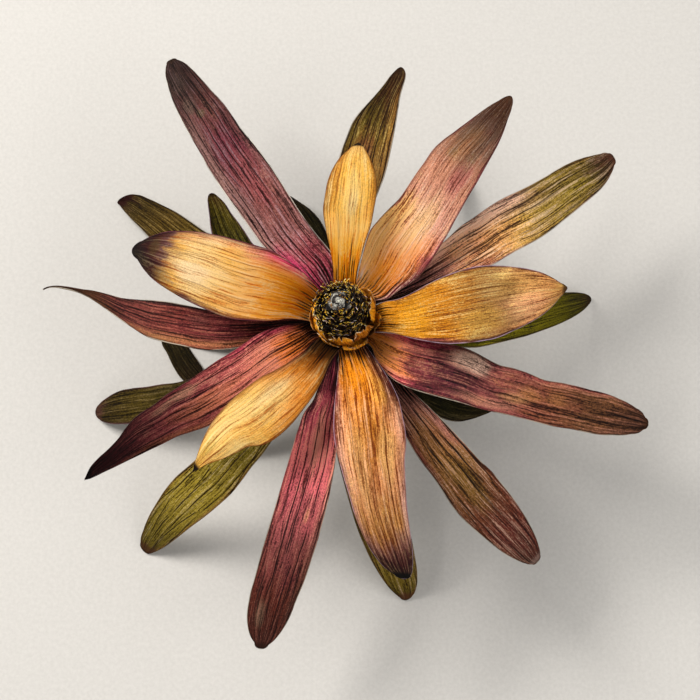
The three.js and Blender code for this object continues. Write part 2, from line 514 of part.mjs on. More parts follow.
// A row is [distance from the stem axis, height, share of the full width, and
// how much the distance and the height grow on the full side]
const SCALE_RINGS = [
  { width: 6.5, rows: [
    [6.95, 47.8, 0.8, 0, 0], [8.05, 48.5, 0.97, 0.1, 0], [8.55, 50.0, 1.0, 0.6, 0.2],
    [8.4, 51.6, 0.9, 0.65, 1.2], [7.85, 52.6, 0.6, 0.5, 2.4]] },
  { width: 6.8, rows: [
    [6.95, 47.2, 0.8, 0, 0], [8.1, 47.5, 0.95, 0, 0], [8.95, 48.6, 1.0, 0.5, 0],
    [9.25, 49.6, 0.9, 0.85, 0.3], [9.15, 50.5, 0.6, 1.1, 0.9]] }
];
const FLORET_TEETH = 24;            // florets in one row
// one row of florets: foot radius and height on the receptacle, then the
// radius and height of the floret tips, all from the stem axis
const FLORET_ROWS = [
  { foot: [6.55, 50.8], tip: [7.5, 56.4] },
  { foot: [6.3, 54.4], tip: [7.3, 60.4] },
  { foot: [5.6, 58.0], tip: [6.4, 64.2] },
  { foot: [4.6, 61.4], tip: [5.0, 67.3] },
  { foot: [3.55, 64.9], tip: [3.6, 69.4] }
];
const FLORET_ROW_THICKNESS = 0.7;
const FLORET_NOTCH = 2.2;           // depth of the notch between two florets
const TUFT_PROFILE = [              // pale tuft at the apex
  [0, 68.75], [1.0, 68.5], [2.0, 68.9], [2.6, 69.8], [2.2, 70.9], [1.2, 71.6], [0, 71.8]
];
const TUFT_SIDES = 14;

const DRIED_STEM = '#6b5236';
const PAPER_SCALE = '#c58a2e';
const FLORET_DARK = '#3a2a12';
const TUFT_PALE = '#cfc7b4';

// ---------------------------------------------------------- construction --
function skin(color, roughness) {
  return new THREE.MeshStandardMaterial({ color: new THREE.Color(color), roughness, metalness: 0 });
}

// A thin closed sheet: rows of upper points, offset by a thickness.  The side
// of the offset is chosen once for the whole sheet, so it can't cross itself.
function closedSheet(upper, thicknessAt, floor) {
  const nv = upper.length;
  const nu = upper[0].length;
  const along = new THREE.Vector3();
  const across = new THREE.Vector3();
  const normals = upper.map((line, i) => line.map((p, j) => {
    along.subVectors(upper[Math.min(i + 1, nv - 1)][j], upper[Math.max(i - 1, 0)][j]);
    across.subVectors(line[Math.min(j + 1, nu - 1)], line[Math.max(j - 1, 0)]);
    return new THREE.Vector3().crossVectors(across, along).normalize();
  }));
  const rise = normals.flat().reduce((sum, n) => sum + n.z, 0);
  const lower = upper.map((line, i) => line.map((p, j) => {
    const q = p.clone().addScaledVector(normals[i][j], -Math.sign(rise) * thicknessAt(i / (nv - 1), j / (nu - 1)));
    if (floor !== undefined) q.z = Math.max(q.z, floor);
    return q;
  }));
  const positions = [];
  for (const sheet of [upper, lower]) for (const line of sheet) for (const p of line) positions.push(p.x, p.y, p.z);
  const T = (i, j) => i * nu + j;
  const B = (i, j) => nv * nu + i * nu + j;
  const index = [];
  const quad = (a, b, c, d) => index.push(a, b, c, a, c, d);
  for (let i = 0; i < nv - 1; i++) {
    for (let j = 0; j < nu - 1; j++) {
      quad(T(i, j), T(i, j + 1), T(i + 1, j + 1), T(i + 1, j));
      quad(B(i, j), B(i + 1, j), B(i + 1, j + 1), B(i, j + 1));
    }
  }
  for (let i = 0; i < nv - 1; i++) {
    quad(T(i, 0), T(i + 1, 0), B(i + 1, 0), B(i, 0));
    quad(T(i, nu - 1), B(i, nu - 1), B(i + 1, nu - 1), T(i + 1, nu - 1));
  }
  for (let j = 0; j < nu - 1; j++) {
    quad(T(0, j), B(0, j), B(0, j + 1), T(0, j + 1));
    quad(T(nv - 1, j), T(nv - 1, j + 1), B(nv - 1, j + 1), B(nv - 1, j));
  }
  return closed(positions, index);
}

// Faces point outwards: the signed volume of the closed body is positive.
function closed(positions, index) {
  let volume = 0;
  const a = new THREE.Vector3();
  const b = new THREE.Vector3();
  const c = new THREE.Vector3();
  for (let k = 0; k < index.length; k += 3) {
    a.fromArray(positions, index[k] * 3);
    b.fromArray(positions, index[k + 1] * 3);
    c.fromArray(positions, index[k + 2] * 3);
    volume += a.dot(b.cross(c)) / 6;
  }
  if (volume < 0) for (let k = 0; k < index.length; k += 3) [index[k], index[k + 1]] = [index[k + 1], index[k]];
  const geometry = new THREE.BufferGeometry();
  geometry.setAttribute('position', new THREE.Float32BufferAttribute(positions, 3));
  geometry.setIndex(index);
  geometry.computeVertexNormals();
  return geometry;
}

function bladeGeometry(rows) {
  const upper = rows.map(([ax, ay, az, bx, by, bz, crown]) => {
    const left = new THREE.Vector3(ax, ay, az);
    const right = new THREE.Vector3(bx, by, bz);
    const line = [];
    for (let j = 0; j <= BLADE_CELLS_ACROSS; j++) {
      const u = j / BLADE_CELLS_ACROSS;
      const p = left.clone().lerp(right, u);
      p.z += crown * 4 * u * (1 - u);
      line.push(p);
    }
    return line;
  });
  const thicknessAt = (v, u) => {
    const mid = BLADE_EDGE_THICKNESS + (BLADE_MID_THICKNESS - BLADE_EDGE_THICKNESS) * 4 * u * (1 - u);
    return v === 1 ? BLADE_TIP_THICKNESS : mid;
  };
  return closedSheet(upper, thicknessAt, SURFACE_HEIGHT);
}

// A lathe profile runs from the axis to the axis; the lathe turns about Z.
function turned(profile, sides) {
  const points = profile.map(([r, z]) => new THREE.Vector2(r, z));
  const geometry = new THREE.LatheGeometry(points, sides);
  geometry.rotateX(Math.PI / 2);
  return geometry;
}

// The cone's pieces are made upright, then leaned with the receptacle.
function leaned(geometry) {
  const p = geometry.attributes.position;
  for (let i = 0; i < p.count; i++) {
    const up = Math.max(p.getZ(i) - LEAN_FROM, 0);
    p.setX(i, p.getX(i) + LEAN[0] * up);
    p.setY(i, p.getY(i) + LEAN[1] * up);
  }
  geometry.computeVertexNormals();
  return geometry;
}

function scaleGeometry(ring, turn) {
  const cells = 4;
  const full = 0.5 + 0.5 * Math.cos(turn - SCALE_FULL_SIDE);
  const upper = ring.rows.map(([r0, z0, share, growR, growZ]) => {
    const r = r0 + growR * full;
    const line = [];
    for (let j = 0; j <= cells; j++) {
      const side = (j / cells - 0.5) * ring.width * share;
      const angle = turn + side / r;
      const reach = r - SCALE_CUP * share * Math.pow(2 * j / cells - 1, 2);
      line.push(new THREE.Vector3(reach * Math.cos(angle), reach * Math.sin(angle), z0 + growZ * full));
    }
    return line;
  });
  return closedSheet(upper, () => SCALE_THICKNESS);
}

// One row of florets: a ring whose rim is notched between the floret tips.
function floretRowGeometry(row, turn) {
  const [footR, footZ] = row.foot;
  const [tipR, tipZ] = row.tip;
  const t = FLORET_ROW_THICKNESS;
  const n = FLORET_TEETH * 2;
  const slope = new THREE.Vector2(tipR - footR, tipZ - footZ).normalize();
  const positions = [];
  const ring = (k, r, z) => {
    const angle = turn + (k * Math.PI * 2) / n;
    positions.push(r * Math.cos(angle), r * Math.sin(angle), z);
  };
  for (let k = 0; k < n; k++) {
    const notch = k % 2 ? FLORET_NOTCH : 0;
    ring(k, footR, footZ);                                                    // foot, inside
    ring(k, footR + t * slope.y, footZ - t * slope.x);                        // foot, outside
    ring(k, tipR - slope.x * (1.4 + notch) + t * 0.9 * slope.y, tipZ - slope.y * (1.4 + notch) - t * 0.9 * slope.x);
    ring(k, tipR - slope.x * notch + t * 0.3 * slope.y, tipZ - slope.y * notch);  // tip
    ring(k, tipR - slope.x * (1.2 + notch), tipZ - slope.y * (1.2 + notch));  // below the tip, inside
  }
  const index = [];
  const s = 5;
  for (let k = 0; k < n; k++) {
    const a = k * s;
    const b = ((k + 1) % n) * s;
    for (let m = 0; m < s; m++) {
      const m2 = (m + 1) % s;
      index.push(a + m, b + m, b + m2, a + m, b + m2, a + m2);
    }
  }
  return closed(positions, index);
}

// ------------------------------------------------------------- assembly ---
const head = new THREE.Group();

function add(name, geometry, color, roughness, onAxis) {
  const mesh = new THREE.Mesh(geometry, skin(color, roughness));
  mesh.name = name;
  if (onAxis) {
    leaned(geometry);
    mesh.position.set(STEM_AXIS[0], STEM_AXIS[1], 0);
  }
  head.add(mesh);
}

add('stem', turned(STEM_PROFILE, STEM_SIDES), DRIED_STEM, 0.85, true);
for (const [name, blade] of Object.entries(BLADES)) add(name, bladeGeometry(blade.rows), blade.color, 0.72, false);
for (let i = 0; i < SCALE_COUNT; i++) {
  const turn = SCALE_FIRST_TURN + (i * Math.PI * 2) / SCALE_COUNT;
  add('cone_scale_' + String(i + 1).padStart(2, '0'), scaleGeometry(SCALE_RINGS[i % 2], turn), PAPER_SCALE, 0.8, true);
}
FLORET_ROWS.forEach((row, i) => {
  add('floret_row_' + (i + 1), floretRowGeometry(row, i * 0.41), FLORET_DARK, 0.75, true);
});
add('apex_tuft', turned(TUFT_PROFILE, TUFT_SIDES), TUFT_PALE, 0.95, true);

export default head;
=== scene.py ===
# Dried leucadendron head, lying face up: one stem, fourteen coloured bracts,
# twelve olive lower leaves, and a cone of papery scales, florets and a pale
# apex tuft.  Lengths in the tables are millimetres; Blender objects are metres.
import math
import random
import bpy
import numpy as np
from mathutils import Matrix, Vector


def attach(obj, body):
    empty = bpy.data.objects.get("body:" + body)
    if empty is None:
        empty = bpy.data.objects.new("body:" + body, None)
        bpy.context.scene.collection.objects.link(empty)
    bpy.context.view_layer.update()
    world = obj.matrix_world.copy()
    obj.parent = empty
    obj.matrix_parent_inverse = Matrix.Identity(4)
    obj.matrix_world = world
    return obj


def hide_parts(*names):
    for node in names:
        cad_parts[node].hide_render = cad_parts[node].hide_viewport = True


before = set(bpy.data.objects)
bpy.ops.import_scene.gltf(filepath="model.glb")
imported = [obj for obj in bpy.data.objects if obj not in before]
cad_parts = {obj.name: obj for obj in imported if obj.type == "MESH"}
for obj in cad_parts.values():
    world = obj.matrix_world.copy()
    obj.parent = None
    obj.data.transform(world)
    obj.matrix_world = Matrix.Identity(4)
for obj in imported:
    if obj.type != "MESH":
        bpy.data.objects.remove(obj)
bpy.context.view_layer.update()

MM = 0.001

# ------------------------------------------------------------------ camera --
# The photo looks down on the face, fifteen degrees off the stem's axis.
CAMERA_AT = (2.950, -145.344, 578.333)      # mm
CAMERA_ELEVATION = 75.0
CAMERA_LENS = 100.0
STEM_AXIS = (1.236, 7.000)                    # mm

cam_data = bpy.data.cameras.new("camera")
cam_data.lens = CAMERA_LENS
cam_data.sensor_width = 36.0
cam_data.clip_start = 0.01
cam = bpy.data.objects.new("camera", cam_data)
bpy.context.scene.collection.objects.link(cam)
cam.location = [c * MM for c in CAMERA_AT]
cam.rotation_euler = (math.radians(90.0 - CAMERA_ELEVATION), 0.0, 0.0)
bpy.context.scene.camera = cam

# ------------------------------------------------------------ blade tables --
# One row is one cross-section of a blade's upper face, base to tip:
# left margin x, y, z, right margin x, y, z, height of the middle over the chord.
ROWS = {
    "bract_01": [
        [-1.86, 13.55, 44.5, 4.74, 13.34, 44.5, -0.79], [-1.86, 18.88, 52.87, 5.07, 18.88, 52.87, -0.56],
        [-2.4, 22.11, 56.67, 6.19, 22.11, 56.67, -0.48], [-3.22, 25.48, 59.92, 7.43, 25.48, 59.92, -0.3],
        [-4.03, 28.99, 62.64, 8.82, 28.99, 62.64, 0.06], [-4.58, 32.65, 64.85, 9.64, 32.65, 64.85, 0.7],
        [-4.01, 36.47, 66.54, 10.33, 36.47, 66.54, 1.26], [-3.17, 40.4, 67.91, 10.32, 40.4, 67.91, 1.35],
        [-1.78, 43.67, 68.64, 9.63, 43.67, 68.64, 1.14], [0.03, 46.51, 68.98, 8.52, 46.51, 68.98, 0.85],
        [2.39, 49.05, 68.53, 7.28, 49.05, 68.53, 0.49], [4.69, 51.4, 67.83, 5.69, 51.4, 67.83, 0],
    ],
    "bract_02": [
        [-4.52, 2.88, 43.55, 1.38, -0.08, 43.55, -0.79], [-6.62, -1.17, 50.07, -0.71, -4.36, 50.02, -0.62],
        [-9.28, -5.89, 56.26, -2.88, -9.43, 56.1, -0.44], [-12.19, -9.05, 60.62, -4.74, -15.33, 60.22, -0.28],
        [-15.38, -11.79, 63.52, -6.87, -19.92, 62.8, -0.03], [-18.55, -14.17, 65.64, -9.53, -24.24, 64.52, 0.37],
        [-21.72, -16.25, 67.23, -12.19, -28.12, 65.64, 0.91], [-24.61, -18.63, 68.35, -15.11, -31.31, 66.3, 1.42],
        [-27.22, -21.22, 69.28, -18.03, -33.76, 66.8, 1.72], [-29.83, -23.87, 69.96, -20.95, -35.09, 67.23, 1.73],
        [-32.18, -26.69, 70.24, -24.15, -35.45, 67.62, 1.45], [-34.26, -29.77, 70.47, -27.33, -37.14, 67.88, 1.2],
        [-35.94, -32.92, 70.46, -30.5, -38.7, 68.14, 0.86], [-37.14, -35.75, 69.66, -33.71, -39.75, 67.95, 0.5],
        [-38.13, -38.31, 68.22, -36.16, -40.55, 67.17, 0.24], [-39.5, -41.41, 65.94, -38.88, -42.12, 65.61, 0],
    ],
    "bract_03": [
        [7.52, 9.87, 42.6, 7.06, 3.29, 42.6, -0.79], [12.88, 10.73, 49.01, 12.55, 1.7, 49.19, -0.76],
        [17.02, 10.28, 53.54, 16.66, -0.34, 53.91, -0.61], [21.14, 11.29, 57.01, 20.72, -2.53, 57.67, -0.45],
        [25.25, 12.94, 59.74, 25.02, -4.24, 60.77, -0.14], [29.63, 14.5, 61.78, 29.58, -5.48, 63.23, 0.38],
        [34, 15.6, 63.36, 34.13, -5.85, 65.15, 1.06], [38.38, 16.27, 64.47, 38.69, -5.66, 66.52, 1.69],
        [42.74, 16.26, 65.42, 43.27, -4.97, 67.6, 2.04], [47.1, 15.76, 66.09, 47.34, -3.3, 68.21, 1.92],
        [51.5, 15.16, 65.99, 51.78, -0.95, 67.91, 1.62], [55.66, 14.21, 65.52, 55.74, 1.7, 67.08, 1.26],
        [58.98, 12.75, 65.09, 58.94, 4.83, 66.12, 0.8], [61.18, 11.39, 64.84, 61.01, 7.34, 65.37, 0.41],
        [62.97, 10.5, 64.59, 62.93, 9.51, 64.72, 0],
    ],
    "bract_04": [
        [-2.78, 12.41, 41.65, -5.48, 6.39, 41.65, -0.79], [-6.21, 15.72, 45.25, -8.74, 6.1, 45.09, -0.89],
        [-9.83, 18.45, 50.44, -14, 5.45, 49.95, -0.74], [-13.98, 20.63, 54.83, -18.92, 3.75, 53.88, -0.39],
        [-18.92, 22.59, 58.87, -24.35, 2.76, 57.34, 0.25], [-23.84, 23.37, 61.87, -30.04, 2.63, 59.84, 1.01],
        [-28.75, 24.12, 64.06, -35.21, 3.97, 61.7, 1.75], [-33.67, 24.94, 65.54, -39.57, 5.61, 62.97, 2.21],
        [-38.58, 25.43, 66.71, -43.94, 7.59, 64.07, 2.26], [-43.56, 25.72, 66.87, -48.11, 10.1, 64.34, 1.97],
        [-48.07, 25.74, 66.03, -51.83, 13, 63.81, 1.58], [-52.04, 25.02, 64.86, -54.46, 16.08, 63.24, 1.05],
        [-54.95, 24.07, 63.32, -56.3, 19.11, 62.39, 0.56], [-57.75, 22.65, 61.59, -58.01, 21.7, 61.41, 0],
    ],
    "bract_05": [
        [-0.45, 0.64, 40.7, 5.92, 2.38, 40.7, -0.92], [-0.28, -7.08, 49.27, 10.27, -6.39, 48.86, -0.41],
        [-0.53, -12.01, 53.84, 12.71, -11.24, 53.07, 0.13], [-0.91, -16.88, 57.33, 14.84, -16.03, 56.18, 0.71],
        [-1.3, -21.42, 59.73, 16.42, -20.51, 58.27, 1.12], [-1.55, -25.79, 61.57, 17.31, -25.13, 59.93, 1.43],
        [-1.53, -29.99, 62.87, 18.06, -29.6, 61.16, 1.69], [-0.97, -34.65, 63.92, 18.22, -33.74, 62.27, 1.81],
        [0.12, -39.19, 64.58, 17.81, -37.78, 63.1, 1.76], [1.34, -43.62, 64.78, 17.86, -41.98, 63.45, 1.66],
        [2.55, -47.66, 64.52, 18.01, -46.35, 63.36, 1.54], [3.75, -51.88, 63.81, 18.27, -50.61, 62.84, 1.41],
        [5.36, -56.31, 62.79, 18.79, -54.82, 62.03, 1.25], [7.24, -60.16, 61.6, 19.33, -58.99, 61.07, 1.05],
        [9.39, -63.46, 60.24, 19.79, -62.87, 59.92, 0.82], [12.08, -66.48, 58.81, 19.79, -66.46, 58.69, 0.54],
        [14.78, -68.36, 57.86, 19.21, -68.62, 57.84, 0.28], [16.97, -69.47, 57.38, 17.97, -69.53, 57.38, 0],
    ],
    "bract_06": [
        [1.77, 13.39, 39.75, 7.13, 9.53, 39.75, -0.92], [4.67, 17.31, 43.46, 9.26, 12.61, 43.16, -0.69],
        [5.1, 19.01, 45.76, 13.24, 12.49, 45.08, -0.94], [5.66, 20.84, 48.51, 16.63, 14.18, 47.38, -0.9],
        [6.36, 23.01, 51.09, 19.72, 15.64, 49.45, -0.79], [7.2, 25.81, 53.48, 22.51, 17.29, 51.31, -0.59],
        [8.61, 29.49, 55.89, 24.72, 19.5, 53.27, -0.26], [11.14, 32.29, 57.71, 26.66, 22.05, 55.04, 0.08],
        [13.94, 34.91, 59.18, 28.59, 24.92, 56.68, 0.34], [16.75, 37.49, 60.33, 30.54, 27.86, 58.1, 0.53],
        [19.14, 40.74, 61.24, 32.49, 31.31, 59.3, 0.74], [21.54, 44.33, 62.03, 34.45, 34.64, 60.4, 0.93],
        [23.95, 47.74, 62.52, 36.42, 38.07, 61.21, 1.07], [26.25, 51.17, 62.58, 38.72, 41.81, 61.58, 1.18],
        [29.25, 54.21, 62.51, 40.88, 45.73, 61.88, 1.15], [32.41, 56.69, 62.34, 42.91, 49.42, 62.06, 1.02],
        [35.59, 59.44, 61.88, 44.97, 53.39, 61.91, 0.88], [38.81, 62.34, 61.11, 46.66, 57.52, 61.37, 0.7],
        [42.34, 65.29, 60.22, 47.94, 61.48, 60.59, 0.49], [45.58, 67.61, 59.42, 49.23, 65.47, 59.76, 0.28],
        [48.66, 69.44, 58.89, 49.52, 68.94, 58.97, 0],
    ],
    "bract_07": [
        [-4.69, 7.99, 38.8, -2.92, 2.67, 38.8, -0.67], [-8.53, 6.8, 41.57, -6.49, 1.41, 41.7, -0.54],
        [-12.13, 4.87, 45.77, -9.8, -3.32, 46.12, -0.56], [-15.98, 3.26, 49.4, -13.05, -7.85, 50.02, -0.45],
        [-19.53, 1.63, 52.08, -16.29, -11.78, 52.93, -0.22], [-23.06, -0.56, 54.21, -19.5, -15.36, 55.22, 0.06],
        [-26.55, -3.66, 56.02, -22.7, -18.67, 57.08, 0.34], [-30.05, -6.46, 57.33, -25.9, -21.53, 58.41, 0.56],
        [-33.54, -9.04, 58.42, -29.37, -24.16, 59.41, 0.73], [-37, -11.87, 59.46, -32.85, -26.54, 59.99, 0.87],
        [-40.48, -14.59, 60.09, -36.65, -28.35, 59.94, 0.94], [-43.96, -17.1, 60.5, -40.47, -29.63, 59.66, 0.95],
        [-47.44, -19.56, 60.78, -44.29, -30.88, 59.35, 0.92], [-50.38, -21.97, 60.83, -47.83, -32.6, 58.94, 0.89],
        [-53.36, -23.88, 60.59, -51.4, -34.19, 58.31, 0.84], [-56.09, -25.87, 60.09, -54.99, -35.78, 57.49, 0.71],
        [-58.42, -28.49, 59.32, -58.46, -37.27, 56.64, 0.49], [-60.52, -31.18, 58.2, -61.69, -38.59, 55.59, 0.28],
        [-63.35, -33.79, 56.68, -64.55, -39.6, 54.34, 0.08], [-66.23, -35.96, 55.05, -66.87, -40.46, 53.06, -0.05],
        [-68.55, -38.15, 53.43, -68.63, -41.04, 52.05, -0.1], [-70.2, -40.68, 51.72, -70.23, -41.58, 51.29, 0],
    ],
    "bract_08": [
        [7.07, 6.77, 37.85, 4.19, 1.97, 37.85, -0.67], [8.99, 4.56, 39.97, 8.11, 0.67, 40.04, -0.39],
        [13.21, 2.74, 44.38, 10.61, -5.6, 44.76, -0.56], [17.38, 1.1, 48.2, 14.18, -11.37, 49.05, -0.43],
        [21.52, -0.51, 50.83, 18.29, -14.8, 52.02, -0.12], [25.65, -1.87, 52.62, 22.1, -16.72, 54, 0.15],
        [29.77, -2.99, 54.06, 25.91, -18.25, 55.6, 0.37], [33.88, -4.3, 55.19, 29.7, -19.65, 56.8, 0.55],
        [37.42, -5.99, 56.11, 33.5, -20.94, 57.69, 0.63], [40.93, -8.22, 56.94, 37.28, -22.32, 58.41, 0.67],
        [44.47, -10.13, 57.33, 41.09, -23.43, 58.66, 0.69], [48.6, -11.11, 57.38, 45.19, -24.32, 58.62, 0.74],
        [52.71, -12.56, 57.47, 49.56, -25.37, 58.53, 0.76], [56.8, -14.38, 57.57, 53.93, -26.52, 58.42, 0.74],
        [60.93, -15.11, 57.41, 58.32, -27.6, 58.09, 0.77], [65.11, -15.91, 56.84, 62.78, -28.09, 57.27, 0.73],
        [69.35, -16.8, 55.85, 67.02, -28.68, 56.01, 0.67], [73.35, -17.43, 54.69, 71.31, -29.12, 54.58, 0.59],
        [77.08, -18.69, 53.41, 75.38, -28.78, 53.07, 0.44], [80.53, -20.44, 52.03, 79.2, -28.03, 51.58, 0.27],
        [83.43, -22.2, 50.75, 82.46, -27.1, 50.35, 0.14], [85.32, -23.72, 49.8, 84.84, -26.15, 49.55, 0.06],
        [86.28, -24.59, 49.27, 86.09, -25.57, 49.18, 0],
    ],
    "bract_09": [
        [-3.38, 10.29, 36.9, 1.69, 12.65, 36.9, -0.67], [-6.27, 16.02, 41.79, -1.09, 19.08, 41.62, -0.6],
        [-9.39, 17.13, 44.04, -1.22, 22.36, 43.67, -0.88], [-12.79, 19.37, 46.52, -1.93, 25.26, 45.93, -1],
        [-16.17, 21.82, 48.72, -4.07, 27.77, 47.94, -0.96], [-19.26, 24.22, 50.56, -6.49, 30.22, 49.64, -0.86],
        [-22.07, 26.55, 52.14, -9.05, 33.35, 51.08, -0.74], [-24.6, 29.81, 53.59, -11.61, 36.8, 52.44, -0.58],
        [-27.14, 33.18, 54.66, -14.18, 40.68, 53.43, -0.41], [-29.7, 36.47, 55.54, -16.76, 44.77, 54.24, -0.24],
        [-32.28, 40.02, 56.12, -19.35, 48.82, 54.77, -0.06], [-35.05, 44.23, 56.15, -22.26, 53.06, 54.82, 0.16],
        [-37.7, 48.51, 56.02, -25.32, 57.03, 54.81, 0.34], [-39.95, 53.02, 55.73, -28.25, 60.75, 54.72, 0.46],
        [-42.4, 57.48, 54.84, -31.09, 65.17, 54.04, 0.55], [-44.93, 62.34, 53.41, -33.98, 69.67, 52.88, 0.6],
        [-47.19, 67.3, 51.84, -37.18, 73.77, 51.61, 0.61], [-49.05, 72.19, 50.14, -40.43, 78.12, 50.2, 0.58],
        [-50.49, 76.96, 48.47, -43.55, 82.06, 48.73, 0.5], [-51.36, 81.32, 47.12, -46.21, 84.73, 47.44, 0.37],
        [-51.15, 84.32, 46.42, -48.07, 85.81, 46.64, 0.21], [-50.48, 85.87, 46.12, -49.58, 86.3, 46.18, 0],
    ],
    "bract_10": [
        [-2.74, 3.18, 35.95, 2.66, 1.68, 35.95, -0.67], [-2.5, -1.98, 38.85, -0.21, -2.59, 38.9, -0.22],
        [-4.15, -7.84, 43.21, -0.03, -8.18, 43.38, -0.27], [-5.79, -12.99, 46.26, -0.01, -13.36, 46.59, -0.23],
        [-7.42, -17.86, 48.42, 0.01, -18.27, 48.91, -0.14], [-10.15, -22.26, 50.04, -0.25, -23.87, 50.8, 0],
        [-11.49, -26.79, 51.13, -0.51, -28.69, 52.03, 0.17], [-12.69, -31.19, 51.8, -0.78, -33.39, 52.82, 0.33],
        [-13.88, -35.53, 52.3, -1.31, -38.01, 53.41, 0.47], [-15.08, -40.05, 52.42, -1.99, -42.23, 53.57, 0.61],
        [-16.28, -44.22, 52.33, -2.8, -46.4, 53.51, 0.74], [-17.48, -48.38, 52.2, -3.75, -50.53, 53.34, 0.85],
        [-18.68, -52.5, 51.98, -4.83, -54.62, 53.03, 0.93], [-19.9, -56.53, 51.28, -5.92, -58.61, 52.18, 0.98],
        [-21.13, -60.5, 50.22, -7.15, -62.26, 50.94, 0.99], [-22.23, -64.43, 48.97, -8.39, -65.88, 49.47, 0.97],
        [-23.34, -68.35, 47.6, -9.77, -69.49, 47.85, 0.93], [-24.46, -71.99, 46.11, -11.44, -73.08, 46.1, 0.87],
        [-25.04, -75.62, 44.52, -13.1, -76.68, 44.26, 0.77], [-25, -79.25, 42.88, -15.06, -80.02, 42.45, 0.6],
        [-24.29, -82.36, 41.37, -17.28, -82.85, 40.93, 0.4], [-23.22, -84.68, 40.08, -19.64, -85.19, 39.8, 0.19],
        [-22.35, -86.16, 39.3, -21.37, -86.3, 39.22, 0],
    ],
    "bract_11": [
        [2.8, 12.18, 35, 6.55, 8.02, 35, -0.67], [8.74, 16.19, 39.21, 10.46, 12.9, 39.12, -0.38],
        [13.32, 17.95, 42.35, 15.31, 13.2, 42.16, -0.47], [17.87, 20.08, 45.19, 20.41, 14.05, 44.86, -0.51],
        [22.12, 22.68, 47.42, 25.49, 15.21, 46.94, -0.54], [26.37, 25.59, 49.11, 30.29, 16.53, 48.47, -0.52],
        [30.35, 28.64, 50.32, 34.81, 17.99, 49.53, -0.48], [34.36, 32.28, 51.12, 39.34, 19.43, 50.15, -0.4],
        [38.37, 34.96, 51.67, 43.89, 21.37, 50.63, -0.23], [42.41, 37.91, 51.85, 48.2, 24.01, 50.78, -0.01],
        [46.47, 40.51, 51.75, 52.53, 26.41, 50.73, 0.2], [50.55, 42.64, 51.5, 56.88, 28.93, 50.63, 0.36],
        [54.67, 44.9, 50.95, 60.99, 31.95, 50.33, 0.43], [58.85, 47.61, 50.02, 64.87, 35.33, 49.7, 0.41],
        [63.07, 50.6, 48.98, 68.78, 38.76, 48.98, 0.39], [67.3, 53.18, 48, 72.41, 42.03, 48.31, 0.35],
        [71.53, 55.02, 47.04, 75.79, 45.35, 47.58, 0.28], [75.45, 56.26, 46.21, 78.33, 49.16, 46.8, 0.18],
        [78.16, 56.73, 45.7, 79.87, 52.97, 46.09, 0.09], [79.81, 55.91, 45.59, 80.22, 55, 45.69, 0],
    ],
    "bract_12": [
        [-3.04, 10.16, 34.05, -3.5, 4.58, 34.05, -0.56], [-8.63, 9.02, 36.93, -8.33, 6.6, 36.97, -0.15],
        [-12.61, 8.56, 39.57, -12.29, 4.49, 39.7, -0.15], [-17.12, 8.12, 42.15, -16.77, 2.24, 42.45, -0.05],
        [-21.63, 7.88, 44.03, -21.24, 0.34, 44.54, 0.11], [-26.14, 7.81, 45.33, -25.69, -1.42, 46.13, 0.3],
        [-30.64, 7.97, 46.3, -30.13, -2.74, 47.43, 0.48], [-35.17, 8.27, 46.82, -34.87, -3.32, 48.28, 0.58],
        [-39.73, 9.25, 46.99, -39.62, -3.32, 48.83, 0.63], [-44.3, 10.27, 47.08, -44.41, -2.39, 49.19, 0.6],
        [-48.9, 11.31, 46.76, -49.23, -1.31, 49.19, 0.55], [-53.56, 12, 45.91, -54.13, 0.33, 48.54, 0.45],
        [-57.95, 12.47, 45.04, -58.87, 3.54, 47.33, 0.31], [-62.38, 13.26, 43.99, -63.42, 7.09, 45.75, 0.19],
        [-66.9, 14.93, 42.61, -67.75, 10.66, 43.9, 0.11], [-71.16, 16.36, 41.16, -71.84, 13.88, 41.92, 0.05],
        [-75.49, 17.43, 39.3, -75.99, 16.44, 39.59, 0.02], [-79.49, 18.47, 37.86, -79.75, 17.95, 37.96, 0.01],
        [-83.03, 18.91, 37.6, -83.01, 18.45, 37.64, 0], [-85, 18.46, 37.89, -84.84, 18.03, 37.91, 0],
        [-86.26, 18.02, 38.15, -85.91, 17.09, 38.18, 0],
    ],
    "bract_13": [
        [2.52, 1.93, 33.1, 6.37, 6, 33.1, -0.67], [6.42, -0.6, 35.89, 9.89, 1.53, 35.78, -0.45],
        [8.67, -6.71, 39.94, 13.55, -4.26, 39.64, -0.53], [10.9, -12.06, 42.51, 16.61, -9.01, 42.04, -0.54],
        [13.12, -16.85, 44.23, 19.94, -13.64, 43.59, -0.53], [15.32, -21.48, 45.43, 23.27, -17.08, 44.57, -0.52],
        [17.53, -25.94, 46.06, 26.6, -20.51, 45.01, -0.46], [20, -30.58, 46.34, 29.93, -24, 45.12, -0.31],
        [22.75, -35.03, 46.49, 33.25, -27.6, 45.16, -0.03], [25.78, -39.11, 46.33, 36.56, -31.29, 45.01, 0.28],
        [28.54, -43.24, 45.75, 39.62, -34.61, 44.47, 0.56], [31.31, -47.44, 44.82, 42.71, -37.43, 43.63, 0.75],
        [34.68, -51.12, 43.37, 45.53, -40.62, 42.44, 0.76], [38.35, -54.06, 41.64, 48.11, -43.48, 41.04, 0.72],
        [42.06, -56.83, 39.69, 50.41, -46.59, 39.43, 0.66], [45.8, -59.32, 37.63, 52.74, -49.84, 37.69, 0.59],
        [49.28, -60.91, 35.73, 54.64, -53.1, 36, 0.47], [52.21, -61.73, 34.1, 56.11, -56.54, 34.42, 0.33],
        [54.27, -61.86, 33.11, 56.65, -59.2, 33.34, 0.18], [55.67, -61.48, 32.76, 56.34, -60.73, 32.82, 0],
    ],
    "bract_14": [
        [-1.36, 11.43, 32.15, 4.23, 11.16, 32.15, -0.56], [0.04, 18.57, 36.33, 3.53, 18.88, 36.31, -0.26],
